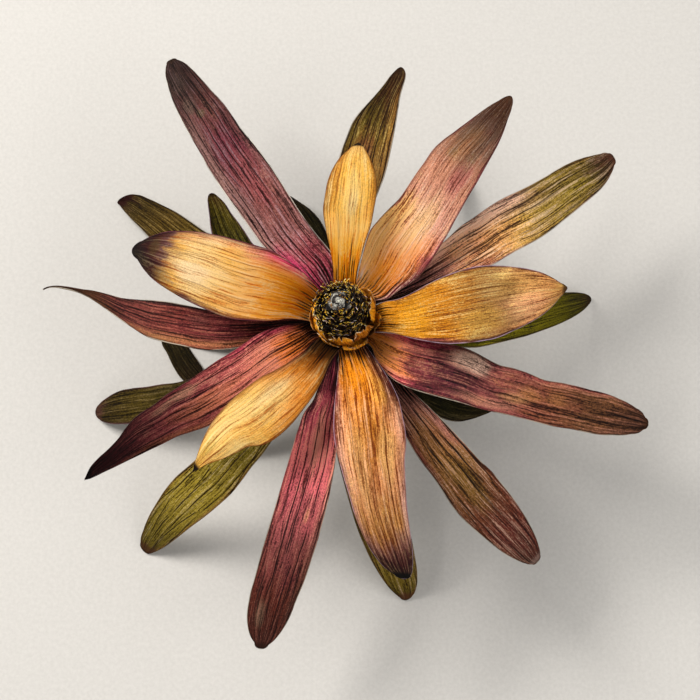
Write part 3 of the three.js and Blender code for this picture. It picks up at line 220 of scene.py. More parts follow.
        [-0.82, 22.68, 38.79, 4.98, 23.31, 38.72, -0.36], [-1.4, 26.92, 40.74, 6.14, 27.88, 40.6, -0.38],
        [-1.69, 31.3, 42.26, 7.3, 32.3, 42.02, -0.36], [-1.83, 35.78, 43.45, 8.46, 36.83, 43.07, -0.35],
        [-1.83, 40.35, 44.4, 9.63, 41.15, 43.86, -0.35], [-1.55, 45.12, 44.78, 11.09, 45.07, 44.06, -0.39],
        [-0.98, 49.93, 45.1, 12.71, 49.36, 44.15, -0.45], [-0.4, 54.44, 45.45, 14.04, 54.27, 44.25, -0.54],
        [0.62, 58.14, 45.52, 15.03, 58.99, 44.11, -0.6], [2.07, 62.3, 45.22, 15.86, 63.55, 43.62, -0.63],
        [3.54, 66.34, 44.88, 16.64, 68.15, 43.09, -0.65], [5.74, 69.82, 44.43, 17.26, 72.44, 42.62, -0.6],
        [8.25, 73.04, 43.85, 17.89, 76.46, 42.09, -0.52], [10.78, 76.31, 43.22, 18.67, 79.53, 41.6, -0.43],
        [13.32, 79.96, 42.46, 19.38, 82.29, 41.1, -0.33], [15.43, 83.33, 41.67, 19.41, 84.37, 40.73, -0.21],
        [17.52, 85.86, 40.82, 18.46, 86.11, 40.6, 0],
    ],
    "leaf_01": [
        [-3.62, 6.55, 31.2, -0.68, 2.51, 31.2, -0.5], [-7.79, 2.98, 33.77, -4.88, -0, 33.67, -0.31],
        [-11.46, -1.37, 36.55, -7.41, -5.47, 36.28, -0.28], [-15.12, -5.41, 38.35, -9.94, -10.61, 37.89, -0.19],
        [-18.78, -9.2, 39.32, -12.18, -15.22, 38.66, -0.07], [-22.45, -13.03, 39.33, -14.43, -19.57, 38.49, 0.07],
        [-26.12, -16.8, 39.14, -16.68, -23.58, 38.14, 0.21], [-29.52, -20.42, 38.36, -19.24, -27.17, 37.27, 0.33],
        [-33, -23.8, 36.54, -22.13, -30.84, 35.39, 0.45], [-36.66, -27.23, 34.21, -25.19, -34.01, 33.13, 0.56],
        [-40.28, -30.21, 31, -28.02, -37.18, 30.09, 0.66], [-43.84, -32.49, 27.16, -31.33, -40.43, 26.49, 0.74],
        [-47.47, -34.6, 23, -35.28, -43.22, 22.62, 0.74], [-50.76, -37.06, 18.15, -39.62, -45.77, 18.02, 0.65],
        [-53.8, -40.13, 13.11, -44.05, -48.02, 13.11, 0.48], [-56.52, -43.34, 8.57, -48.35, -50.38, 8.57, 0.3],
        [-58.55, -46.87, 4.65, -52.36, -52.42, 4.65, 0.13], [-59.69, -50.03, 1.97, -55.27, -53.34, 1.97, 0.03],
        [-59.47, -52.09, 0.71, -57.03, -53.66, 0.71, 0], [-58.69, -53.06, 0.4, -57.84, -53.61, 0.4, 0],
    ],
    "leaf_02": [
        [3.04, 11.38, 29.15, 5.96, 7.33, 29.15, -0.5], [7.35, 12.94, 30.66, 7.34, 9.88, 30.7, -0.26],
        [12.59, 13.22, 32.83, 12.56, 7.41, 33.01, -0.41], [17.81, 13.49, 34.52, 17.74, 5.08, 34.88, -0.44],
        [23.02, 13.84, 35.39, 23.19, 3.13, 35.96, -0.38], [28.26, 14.24, 35.57, 28.65, 1.68, 36.34, -0.24],
        [33.56, 15.02, 34.48, 34.18, 1.03, 35.4, -0.05], [38.92, 15.96, 32.84, 39.49, 1.3, 33.84, 0.17],
        [44.38, 17.16, 30.34, 44.63, 2.96, 31.29, 0.39], [49.65, 18.53, 27.27, 49.89, 5.06, 28.02, 0.56],
        [55.08, 20.24, 23.1, 55.34, 7.6, 23.54, 0.62], [60.33, 22.11, 18.4, 60.63, 10.68, 18.56, 0.56],
        [65.34, 23.75, 13.97, 65.67, 13.74, 13.99, 0.42], [69.79, 25.25, 9.69, 70.15, 16.94, 9.69, 0.25],
        [73.67, 26.39, 5.37, 74.1, 20.41, 5.37, 0.1], [76.4, 26.77, 1.93, 76.76, 23.65, 1.93, 0.01],
        [77.67, 26.37, 0.4, 77.78, 25.38, 0.4, 0],
    ],
    "leaf_03": [
        [-3.25, 8.35, 27.1, 0.53, 11.63, 27.1, -0.5], [-6.44, 12.52, 29.98, -4.7, 17.16, 29.83, -0.31],
        [-11.38, 12.88, 31.93, -8.79, 19.08, 31.6, -0.3], [-16.31, 13.93, 33.54, -12.58, 21.42, 32.97, -0.24],
        [-20.95, 15.71, 34.71, -16.09, 23.9, 33.88, -0.2], [-25.34, 18.35, 35.05, -19.05, 26.64, 33.95, -0.22],
        [-29.18, 21.67, 35.15, -21.72, 29.13, 33.85, -0.31], [-32.45, 25.63, 35.21, -23.8, 31.16, 33.79, -0.41],
        [-35.16, 29.66, 35.08, -25.9, 33.4, 33.56, -0.5], [-37.16, 33.75, 34.81, -28.03, 36.77, 33.21, -0.56],
        [-38.13, 37.87, 34.55, -30.15, 39.92, 33.06, -0.5], [-38.57, 41.66, 34.36, -32.26, 42.71, 33.13, -0.39],
        [-39.01, 45.04, 34.5, -34.21, 45.7, 33.51, -0.3], [-39.04, 47.18, 34.64, -36.28, 47.7, 34.05, -0.17],
        [-38.52, 48.38, 34.62, -37.56, 48.56, 34.41, 0],
    ],
    "leaf_04": [
        [-0.78, 2.83, 25.05, 4.19, 3.43, 25.05, -0.5], [-0.99, -3.93, 28, 6.02, -3.13, 27.81, -0.5],
        [-1.41, -9.2, 29.82, 7.61, -8.21, 29.43, -0.45], [-1.68, -14.15, 30.54, 9.04, -12.82, 29.96, -0.36],
        [-1.81, -18.98, 30.87, 10.47, -17.32, 30.12, -0.23], [-1.66, -23.66, 30.63, 11.91, -21.83, 29.73, -0.09],
        [-1.08, -28.19, 29.82, 13.35, -26.21, 28.82, 0.04], [-0.22, -32.37, 28.73, 14.79, -30.39, 27.67, 0.17],
        [0.93, -36.43, 27.03, 16.25, -34.46, 25.99, 0.29], [2.08, -40.43, 24.96, 17.57, -38.5, 24.07, 0.39],
        [3.24, -44.12, 22.73, 18.61, -42.53, 22.07, 0.44], [4.4, -47.5, 20.3, 19.51, -46.25, 19.88, 0.46],
        [5.72, -50.86, 17.62, 20.43, -49.94, 17.41, 0.43], [7.48, -54.48, 14.63, 21.36, -53.59, 14.58, 0.37],
        [9.7, -58.36, 11.15, 22.23, -57.47, 11.15, 0.27], [12.38, -62.09, 7.45, 22.79, -61.05, 7.45, 0.16],
        [15.23, -65.14, 3.97, 22.64, -64.1, 3.97, 0.06], [17.8, -66.94, 1.49, 21.52, -66.34, 1.49, 0.01],
        [19.11, -67.64, 0.4, 20.1, -67.49, 0.4, 0],
    ],
    "leaf_05": [
        [0.27, 11.48, 23, 4.94, 9.7, 23, -0.4], [3.54, 16.46, 24.88, 5.32, 14.3, 24.88, -0.15],
        [6.21, 19.77, 26.22, 8.57, 16.99, 26.22, -0.13], [8.88, 23.56, 26.99, 12.12, 20.16, 26.99, -0.08],
        [11.56, 27.65, 26.82, 15.7, 23.61, 26.82, -0], [14.57, 31.88, 26.26, 19.3, 27.51, 26.26, 0.09],
        [17.62, 36.49, 24.59, 22.96, 31.79, 24.59, 0.16], [20.72, 41.4, 22.19, 26.39, 36.65, 22.19, 0.21],
        [23.59, 46.69, 18.81, 29.61, 42.21, 18.81, 0.26], [26.2, 51.75, 15.33, 32.27, 47.88, 15.33, 0.27],
        [28.56, 57.01, 11.49, 34.68, 53.75, 11.49, 0.28], [30.94, 61.94, 7.81, 36.5, 59.31, 7.81, 0.22],
        [33, 66.03, 4.78, 37.98, 64.04, 4.78, 0.12], [35.38, 69.22, 2.02, 38.51, 68.05, 2.02, 0.02],
        [36.91, 70.83, 0.4, 37.85, 70.48, 0.4, 0],
    ],
    "leaf_06": [
        [-2.37, 9.75, 20.95, -2.7, 4.76, 20.95, -0.4], [-8.61, 9.6, 22.98, -7.41, 5.63, 22.88, -0.23],
        [-13.59, 7.45, 24.64, -12.09, 2.32, 24.42, -0.18], [-18.58, 5.47, 25.17, -16.76, -0.69, 24.82, -0.09],
        [-23.57, 3.51, 25.08, -21.45, -3.37, 24.63, 0.02], [-28.58, 1.54, 24.47, -26.15, -5.92, 23.93, 0.12],
        [-33.65, -0.36, 22.98, -30.91, -8.27, 22.39, 0.19], [-38.77, -2.16, 21.09, -36, -10.38, 20.48, 0.24],
        [-43.65, -3.85, 18.75, -41.15, -12.12, 18.22, 0.28], [-48.59, -4.79, 16.26, -46.34, -13.7, 15.91, 0.33],
        [-53.61, -4.7, 13.56, -51.59, -14.8, 13.4, 0.4], [-58.37, -4.8, 10.84, -56.89, -15.43, 10.83, 0.43],
        [-62.85, -4.68, 8.46, -61.93, -15.44, 8.46, 0.41], [-67.04, -4.95, 6.02, -66.73, -15.16, 6.02, 0.28],
        [-70.94, -6.32, 3.47, -70.69, -14.21, 3.47, 0.11], [-73.56, -7.98, 1.5, -73.25, -12.67, 1.5, 0.02],
        [-74.79, -9.73, 0.4, -74.72, -10.73, 0.4, 0],
    ],
    "leaf_07": [
        [5.62, 8.01, 18.9, 3.85, 3.34, 18.9, -0.4], [13.64, 5.18, 21.16, 10.65, 0.58, 21.16, -0.15],
        [17.76, 2.33, 21.48, 14.18, -3.78, 21.48, -0], [21.91, 0.13, 21.11, 17.71, -7.65, 21.11, 0.15],
        [26.08, -1.56, 19.95, 21.55, -11.01, 19.95, 0.26], [30.59, -2.81, 18.25, 25.72, -13.79, 18.25, 0.38],
        [35.14, -3.96, 16.14, 30.23, -15.73, 16.14, 0.47], [39.42, -5.14, 14.07, 35.08, -16.26, 14.07, 0.47],
        [43.73, -6.32, 11.99, 39.99, -14.78, 11.99, 0.35], [47.44, -7.4, 10.1, 44.34, -12.74, 10.1, 0.15],
        [49.95, -8.28, 8.61, 47.79, -10.91, 8.61, 0.03], [51.08, -8.89, 7.57, 50.44, -9.66, 7.57, 0],
    ],
    "leaf_08": [
        [-1.57, 10.51, 16.85, 3.41, 10.93, 16.85, -0.4], [-0.94, 18.18, 18.99, 1.45, 19.12, 18.99, -0.08],
        [-3.35, 22.56, 19, 0.55, 24.12, 19, -0.02], [-6.08, 27.03, 18.73, -0.51, 29.24, 18.73, 0.08],
        [-8.83, 31.73, 17.85, -1.74, 34.26, 17.85, 0.18], [-11.61, 36.67, 16.3, -3.13, 39.54, 16.3, 0.28],
        [-14.44, 41.74, 14.47, -4.68, 43.99, 14.47, 0.37], [-16.99, 46.64, 12.34, -6.87, 48.42, 12.34, 0.41],
        [-18.94, 51.23, 10.31, -9.7, 52.04, 10.31, 0.35], [-19.96, 55.05, 8.73, -12.68, 54.72, 8.73, 0.17],
        [-19.88, 57.79, 7.45, -15.68, 57.2, 7.45, 0.03], [-18.85, 58.9, 6.83, -17.86, 58.76, 6.83, 0],
    ],
    "leaf_09": [
        [-3.25, 7, 14.8, -0.47, 2.85, 14.8, -0.4], [-8.11, 3.13, 16.13, -5.11, 0.35, 16.13, -0.14],
        [-10.77, -0.66, 16.48, -7.18, -4.05, 16.48, -0.03], [-13.74, -4.3, 16.27, -9.25, -8.29, 16.27, 0.09],
        [-16.72, -7.47, 15.43, -11.62, -12.06, 15.43, 0.17], [-19.72, -10.48, 13.93, -14.32, -15.07, 13.93, 0.22],
        [-22.77, -13.04, 11.8, -17.34, -17.64, 11.8, 0.26], [-25.84, -15.4, 9.35, -20.7, -19.7, 9.35, 0.26],
        [-28.63, -17.66, 7.11, -24.07, -21.35, 7.11, 0.23], [-31.11, -19.69, 5.15, -27.46, -22.46, 5.15, 0.11],
        [-33.13, -21.38, 3.69, -30.39, -23.23, 3.69, 0.03], [-33.41, -22.8, 3, -32.58, -23.36, 3, 0],
    ],
    "leaf_10": [
        [0.85, 11.46, 12.75, 5.22, 9.04, 12.75, -0.4], [6.88, 18.58, 14.39, 6.87, 15.76, 14.39, -0.1],
        [12.02, 20.19, 14.27, 12.3, 16.1, 14.27, -0.06], [17.17, 21.58, 13.84, 17.74, 16.23, 13.84, 0.02],
        [22.37, 23.17, 12.73, 23.22, 16.55, 12.73, 0.12], [27.61, 24.75, 11.14, 28.74, 17, 11.14, 0.2],
        [32.89, 26.14, 9.2, 34.31, 17.71, 9.2, 0.28], [38.21, 27.32, 7.38, 39.61, 18.71, 7.38, 0.32],
        [43.24, 28.16, 5.66, 44.63, 20, 5.66, 0.33], [47.99, 28.67, 3.99, 49.39, 21.61, 3.99, 0.27],
        [52.14, 29.01, 2.33, 53.56, 23.53, 2.33, 0.13], [55.3, 28.79, 1.46, 56.46, 25.24, 1.46, 0.03],
        [57.46, 28.05, 1.2, 57.77, 27.1, 1.2, 0],
    ],
    "leaf_11": [
        [1.72, 11.44, 10.7, -2.71, 9.11, 10.7, -0.4], [-3.11, 17.9, 12.4, -4.61, 15.38, 12.4, -0.15],
        [-7.97, 21.66, 12.5, -10.37, 17.24, 12.5, -0.16], [-12.86, 25.59, 12.06, -16.15, 19.42, 12.06, -0.08],
        [-17.8, 29.62, 10.86, -21.69, 21.98, 10.86, 0.04], [-22.79, 33.43, 9.41, -27.27, 24.48, 9.41, 0.16],
        [-27.81, 37.07, 8.06, -32.88, 26.96, 8.06, 0.26], [-32.54, 40.38, 6.83, -38.52, 29.74, 6.83, 0.35],
        [-37.29, 43.31, 5.8, -43.89, 32.95, 5.8, 0.4], [-42.05, 46.38, 4.91, -48.96, 36.14, 4.91, 0.45],
        [-46.54, 49.86, 4.11, -53.76, 39.64, 4.11, 0.49], [-51.03, 53.13, 3.39, -58.27, 43.62, 3.39, 0.48],
        [-55.53, 55.7, 2.64, -62.2, 47.96, 2.64, 0.37], [-60.06, 58.23, 1.83, -65.51, 51.52, 1.83, 0.22],
        [-63.62, 59.8, 1.14, -68.02, 54.57, 1.14, 0.09], [-66.5, 59.96, 0.7, -69.39, 56.54, 0.7, 0.02],
        [-69.47, 58.69, 0.4, -70.11, 57.92, 0.4, 0],
    ],
    "leaf_12": [
        [1.46, 11.45, 8.65, -2.81, 8.87, 8.65, -0.4], [-3.13, 15.22, 9.62, -2.82, 12.7, 9.62, -0.11],
        [-8.59, 16.06, 10, -7.97, 11.96, 10, -0.07], [-14.07, 16.75, 9.81, -13.42, 11.07, 9.81, 0.05],
        [-19.57, 17.55, 9.23, -18.89, 9.97, 9.23, 0.17], [-25.12, 18.25, 7.88, -24.41, 9.4, 7.88, 0.28],
        [-30.75, 19.19, 5.71, -30, 9.35, 5.71, 0.38], [-36.42, 19.83, 3.47, -35.32, 9.32, 3.47, 0.41],
        [-42.09, 20.04, 1.62, -40.66, 9.66, 1.62, 0.13], [-47.39, 19.62, 0.85, -44.42, 10.35, 0.85, 0],
        [-52.02, 18.44, 0.5, -46.61, 10.92, 0.5, 0], [-55.06, 15.61, 0.4, -48.03, 11.61, 0.4, 0],
        [-55.13, 12.09, 0.4, -48.19, 11.93, 0.4, 0], [-53.39, 8.54, 0.45, -47.24, 11.09, 0.45, 0],
        [-51.05, 3.72, 0.67, -45.31, 8.17, 0.67, 0], [-48.81, 0.5, 0.89, -43.39, 5.41, 0.89, 0],
        [-45.98, -1.77, 1.14, -42.09, 2.65, 1.14, 0], [-43.1, -1.55, 1.3, -42.44, -0.8, 1.3, 0],
    ],
}

# --------------------------------------------------------------- utilities --
def smooth(t):
    t = np.clip(t, 0.0, 1.0)
    return t * t * (3 - 2 * t)


def hermite(s, values, at):
    """Smooth curve through values at places s, read at the places in at."""
    s = np.asarray(s, float); values = np.asarray(values, float)
    h = np.diff(s)
    slope = np.diff(values, axis=0) / h[:, None]
    m = np.empty_like(values)
    m[0], m[-1] = slope[0], slope[-1]
    w = (h[1:] / (h[:-1] + h[1:]))[:, None]
    m[1:-1] = slope[:-1] * w + slope[1:] * (1 - w)
    k = np.clip(np.searchsorted(s, at, side="right") - 1, 0, len(h) - 1)
    t = ((at - s[k]) / h[k])[:, None]
    hk = h[k][:, None]
    return ((2 * t**3 - 3 * t**2 + 1) * values[k] + (t**3 - 2 * t**2 + t) * hk * m[k]
            + (-2 * t**3 + 3 * t**2) * values[k + 1] + (t**3 - t**2) * hk * m[k + 1])


def wave_noise(rng, x, terms=4, low=0.6, high=3.0):
    """Sum of a few sines, about -1 to 1: smooth and repeatable."""
    out = np.zeros_like(x)
    for _ in range(terms):
        f = rng.uniform(low, high)
        out += rng.uniform(0.4, 1.0) * np.sin(2 * math.pi * f * x + rng.uniform(0, 6.283))
    return out / terms


def new_mesh(name, verts, faces, uv=None, attrs=None, smooth_shade=True):
    """A mesh from millimetre points."""
    me = bpy.data.meshes.new(name)
    me.from_pydata((np.asarray(verts, float) * MM).tolist(), [], faces)
    if attrs:
        for key, data in attrs.items():
            a = me.attributes.new(key, "FLOAT_VECTOR", "POINT")
            a.data.foreach_set("vector", np.asarray(data, np.float32).ravel())
    if uv is not None:
        layer = me.uv_layers.new(name="OFBake")
        loops = np.empty(len(me.loops), np.int32)
        me.loops.foreach_get("vertex_index", loops)
        layer.data.foreach_set("uv", np.asarray(uv, np.float32)[loops].ravel() if len(uv) == len(verts)
                               else np.asarray(uv, np.float32).ravel())
    if smooth_shade:
        me.polygons.foreach_set("use_smooth", [True] * len(me.polygons))
    me.update()
    ob = bpy.data.objects.new(name, me)
    bpy.context.scene.collection.objects.link(ob)
    return ob


# ------------------------------------------------------------------ blades --
NU, NV = 28, 150
U_LINE = 0.5 - 0.5 * np.cos(np.linspace(0, math.pi, NU + 1))
U_LINE = 0.55 * U_LINE + 0.45 * np.linspace(0, 1, NU + 1)      # closer near the margins
V_LINE = np.linspace(0, 1, NV + 1)
V_LINE = np.sort(np.r_[1 - (1 - V_LINE) ** 1.5, 0.9994, 0.99975, 0.99992])      # closer rows round off the tip                              # closer near the tip

# Shape extras.  wave: ripple of the margins in mm; curl: how far the
# margins turn up (+) or under (-) in mm, left and right; dents: (u, v, across,
# along, depth mm); point: how pointed the tip is, 0 round to 1 straight.
SHAPE = {
    "bract_01": dict(wave=0.35, curl=(0.3, 0.5), point=0.55),
    "bract_02": dict(wave=0.55, curl=(-0.2, 0.9), point=0.8, dents=[(0.3, 0.62, 0.18, 0.2, -0.5), (0.72, 0.8, 0.15, 0.1, 0.6)]),
    "bract_03": dict(wave=0.45, curl=(0.3, -0.4), point=0.6, dents=[(0.6, 0.55, 0.25, 0.2, 0.5)]),
    "bract_04": dict(wave=0.4, curl=(0.5, -0.3), point=0.3, dents=[(0.45, 0.9, 0.3, 0.06, 0.5)]),
    "bract_05": dict(wave=0.5, curl=(0.4, 1.0), point=0.1, pleat=0.16,
                     dents=[(0.78, 0.47, 0.16, 0.035, -1.3), (0.80, 0.385, 0.20, 0.05, 1.1), (0.70, 0.26, 0.10, 0.16, 0.7),
                            (0.30, 0.55, 0.2, 0.1, 0.4), (0.45, 0.72, 0.25, 0.06, -0.4)]),
    "bract_06": dict(wave=0.55, curl=(0.5, 0.7), point=0.4, dents=[(0.35, 0.7, 0.25, 0.12, 0.5)]),
    "bract_07": dict(wave=0.6, curl=(0.6, 0.4), point=0.8),
    "bract_08": dict(wave=0.6, curl=(0.4, 0.3), point=0.0, blunt=2.2, wide=([0.84, 0.89, 0.95, 0.975, 1.0], [1.0, 1.05, 1.24, 1.5, 1.2]), dents=[(0.4, 0.38, 0.3, 0.06, 0.6)]),
    "bract_09": dict(wave=0.5, curl=(0.7, 0.5), point=0.0, blunt=2.0, dents=[(0.5, 0.8, 0.3, 0.1, 0.5)]),
    "bract_10": dict(wave=0.5, curl=(0.5, 0.5), point=0.0, blunt=2.2, wide=([0.86, 0.93, 0.97, 1.0], [1.0, 1.08, 1.15, 1.0])),
    "bract_11": dict(wave=0.4, curl=(0.4, 0.3), point=0.0, blunt=2.0),
    "bract_12": dict(wave=0.6, curl=(0.3, 0.8), point=1.0),
    "bract_13": dict(wave=0.45, curl=(0.5, 0.6), point=0.05, blunt=2.2),
    "bract_14": dict(wave=0.4, curl=(0.6, 0.6), point=0.5),
}
SHAPE_LEAF = dict(wave=0.4, curl=(0.35, 0.35), point=0.3)
MID_THICK, EDGE_THICK = 0.55, 0.2


def blade_points(name, rng):
    """Upper and lower grids of one blade, with its places u, v and widths."""
    extra = {**SHAPE_LEAF, **SHAPE.get(name, {})}
    rows = np.array(ROWS[name], float)
    A, B, crown = rows[:, 0:3], rows[:, 3:6], rows[:, 6:7]
    mid = (A + B) / 2
    s = np.r_[0, np.cumsum(np.linalg.norm(np.diff(mid, axis=0), axis=1))]
    length = s[-1]
    s = s / length
    A2, B2, c2 = (hermite(s, q, V_LINE) for q in (A, B, crown))
    # the last stretch rounds off to the tip
    s0 = s[-2]
    tau = np.clip((V_LINE - s0) / (1 - s0), 0, 1)
    end = V_LINE > s0
    k = int(np.argmax(end))
    half0 = (rows[-2, 3:6] - rows[-2, 0:3]) / 2
    M = hermite(s, mid, V_LINE)
    p = extra["point"]
    shape = (1 - p) * np.clip(1 - tau**extra.get("blunt", 2.0), 0, 1) ** 0.5 + p * (1 - tau)
    tip_half = 0.3 / max(np.linalg.norm(half0), 0.3)
    shape = np.maximum(shape, tip_half)
    for i in np.nonzero(end)[0]:
        A2[i] = M[i] - half0 * shape[i]
        B2[i] = M[i] + half0 * shape[i]
    if "wide" in extra:             # a fuller tip than the measured rows give
        f = np.interp(V_LINE, *extra["wide"])[:, None]
        C2 = (A2 + B2) / 2
        A2, B2 = C2 + (A2 - C2) * f, C2 + (B2 - C2) * f
    width = np.linalg.norm(B2 - A2, axis=1)
    u = U_LINE[None, :, None]
    P = A2[:, None, :] * (1 - u) + B2[:, None, :] * u
    P[:, :, 2] += c2 * (4 * U_LINE * (1 - U_LINE))[None, :]
    # detail: margins ripple and turn, the face buckles a little
    V = V_LINE[:, None]; U = U_LINE[None, :]
    left = np.clip(1 - U / 0.30, 0, 1) ** 2
    right = np.clip(1 - (1 - U) / 0.30, 0, 1) ** 2
    fade = smooth(V / 0.12) * smooth((1 - V) / 0.05) * np.clip(width / 12.0, 0.15, 1)[:, None]
    wl = (wave_noise(rng, V_LINE, 5, 2.0, 8.0) + 0.35 * wave_noise(rng, V_LINE, 5, 9.0, 22.0))[:, None]
    wr = (wave_noise(rng, V_LINE, 5, 2.0, 8.0) + 0.35 * wave_noise(rng, V_LINE, 5, 9.0, 22.0))[:, None]
    face = wave_noise(rng, V_LINE, 4, 1.0, 4.0)[:, None] * np.sin(math.pi * 1.5 * U + rng.uniform(0, 6))
    curl_l, curl_r = extra["curl"]
    dz = fade * (0.6 * extra["wave"] * (left * wl + right * wr) + 0.2 * face
                 + curl_l * left * (0.6 + 0.5 * wr) + curl_r * right * (0.6 + 0.5 * wl))
    for (du, dv, ru, rv, depth) in extra.get("dents", []):
        dz = dz + depth * np.exp(-((U - du) / ru) ** 2 - ((V - dv) / rv) ** 2)
    # long shallow pleats that follow the veins
    pleat = np.sin(2 * math.pi * (5.0 * U + 0.15 * wave_noise(rng, V_LINE, 3, 0.5, 2.0)[:, None]))
    strong = 0.6 + 0.4 * wave_noise(rng, V_LINE, 3, 0.5, 2.5)[:, None]
    dz = dz + extra.get("pleat", 0.09) * strong * pleat * smooth((1 - V) / 0.15) * smooth(V / 0.05)
    if frame_low(rows):
        # a blade whose tip lies on the surface keeps its lowest stretch as measured
        dz = dz * smooth((P[:, :, 2] - 0.6) / 5.0)
    P[:, :, 2] += dz
    # lower face
    du = np.gradient(P, axis=1); dv = np.gradient(P, axis=0)
    n = np.cross(du, dv)
    n /= np.maximum(np.linalg.norm(n, axis=2, keepdims=True), 1e-9)
    n *= np.where(n[..., 2:3] < 0, -1.0, 1.0)
    mid_line = (4 * U_LINE * (1 - U_LINE))[None, :, None]
    thick = EDGE_THICK + (MID_THICK - EDGE_THICK) * mid_line
    rib = 0.22 * np.exp(-((U_LINE - 0.5) / 0.035) ** 2)[None, :, None] * smooth((0.85 - V_LINE) / 0.6)[:, None, None]
    thick = (thick + rib) * (1 + 0.5 * smooth((0.06 - V_LINE) / 0.06))[:, None, None]
    thick = thick * (1 - 0.45 * smooth((V_LINE - 0.93) / 0.07))[:, None, None]
    Q = P - n * thick
    Q[:, :, 2] = np.maximum(Q[:, :, 2], 0.0)
    P[:, :, 2] = np.maximum(P[:, :, 2], Q[:, :, 2] + 0.12)
    return P, Q, width, length


def frame_low(rows):
    return rows[-1, 2] < 4.0


def blade(name, seed):
    rng = random.Random(seed)
    P, Q, width, length = blade_points(name, rng)
    nv, nu = P.shape[0], P.shape[1]
    verts = np.concatenate([P.reshape(-1, 3), Q.reshape(-1, 3)])
    T = lambda i, j: i * nu + j
    B = lambda i, j: nv * nu + i * nu + j
    faces = []
    uvs = []
    Vp = V_LINE; Up = U_LINE

    def uv_top(i, j): return (0.01 + 0.47 * Up[j], 0.01 + 0.98 * Vp[i])
    def uv_bot(i, j): return (0.52 + 0.47 * Up[j], 0.01 + 0.98 * Vp[i])

    # sense: the upper face looks up
    a = P[nv // 2, nu // 2 + 1] - P[nv // 2, nu // 2]
    b = P[nv // 2 + 1, nu // 2] - P[nv // 2, nu // 2]
    up = np.cross(a, b)[2] > 0

    def quad(fs, us):
        if not up:
            fs, us = fs[::-1], us[::-1]
        faces.append(fs); uvs.extend(us)

    for i in range(nv - 1):
        for j in range(nu - 1):
            quad([T(i, j), T(i, j + 1), T(i + 1, j + 1), T(i + 1, j)],
                 [uv_top(i, j), uv_top(i, j + 1), uv_top(i + 1, j + 1), uv_top(i + 1, j)])
            quad([B(i, j), B(i + 1, j), B(i + 1, j + 1), B(i, j + 1)],
                 [uv_bot(i, j), uv_bot(i + 1, j), uv_bot(i + 1, j + 1), uv_bot(i, j + 1)])
    for i in range(nv - 1):
        l0, l1 = 0.01 + 0.98 * Vp[i], 0.01 + 0.98 * Vp[i + 1]
        quad([T(i, 0), T(i + 1, 0), B(i + 1, 0), B(i, 0)], [(0.001, l0), (0.001, l1), (0.007, l1), (0.007, l0)])
        quad([T(i, nu - 1), B(i, nu - 1), B(i + 1, nu - 1), T(i + 1, nu - 1)],
             [(0.491, l0), (0.497, l0), (0.497, l1), (0.491, l1)])
    for j in range(nu - 1):
        c0, c1 = 0.52 + 0.47 * Up[j], 0.52 + 0.47 * Up[j + 1]
        quad([T(0, j), B(0, j), B(0, j + 1), T(0, j + 1)], [(c0, 0.001), (c0, 0.005), (c1, 0.005), (c1, 0.001)])
        quad([T(nv - 1, j), T(nv - 1, j + 1), B(nv - 1, j + 1), B(nv - 1, j)],
             [(c0, 0.995), (c1, 0.995), (c1, 0.999), (c0, 0.999)])
    wmax = float(width.max())
    U = np.broadcast_to(Up[None, :], (nv, nu)); V = np.broadcast_to(Vp[:, None], (nv, nu))
    lc_top = np.stack([U, V, np.ones_like(U)], -1).reshape(-1, 3)
    lc_bot = np.stack([U, V, -np.ones_like(U)], -1).reshape(-1, 3)
    x_true = (U - 0.5) * width[:, None]
    x_flow = (U - 0.5) * (0.45 * wmax + 0.55 * np.maximum(width, 3.0)[:, None])
    mm = np.stack([x_flow, V * length, x_true], -1).reshape(-1, 3)
    ob = new_mesh(name + "_blade", verts, faces, uv=uvs,
                  attrs={"lc": np.concatenate([lc_top, lc_bot]), "mm": np.concatenate([mm, mm])})
    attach(ob, "root")
    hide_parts(name)
    return ob, wmax, length


# --------------------------------------------------------------- materials --
PALETTE = {
    "ink": "#120b08", "soot": "#23150d", "bark": "#3b2412", "umber": "#64401a", "cocoa": "#6a4530",
    "ochre": "#b87a18", "amber": "#e2961a", "gold": "#f0b02e", "honey": "#efc161", "cream": "#f6dd9c",
    "ivory": "#faecc6", "peach": "#eaa769", "apricot": "#e4933c", "pinktan": "#cb9478", "blush": "#dba894",
    "rose": "#b8646e", "dustrose": "#9c5c5c", "berry": "#8f3c52", "magenta": "#b8356c", "wine": "#541c2c",
    "plum": "#6e3447", "mauve": "#8a6266", "lilac": "#c4a6bc", "taupe": "#8a6d5b", "tan": "#be9058",
    "straw": "#cba955", "sand": "#d6b67c", "olive": "#8a7d2e", "moss": "#626020", "lime": "#a3992a",
    "yellowolive": "#b0a03c", "drab": "#6e602e", "deepolive": "#46401a", "greytan": "#a8967c", "pale": "#dcd2bc",
    "chalk": "#efe9da", "pink": "#cf5a86", "brown": "#7a4f2c", "redbrown": "#7c4030",
}


def linear(name):
    if isinstance(name, tuple):
        return (*name, 1.0)
    h = PALETTE.get(name, name).lstrip("#")
    out = []
    for i in (0, 2, 4):
        c = int(h[i:i + 2], 16) / 255
        out.append(c / 12.92 if c <= 0.04045 else ((c + 0.055) / 1.055) ** 2.4)
    return (*out, 1.0)


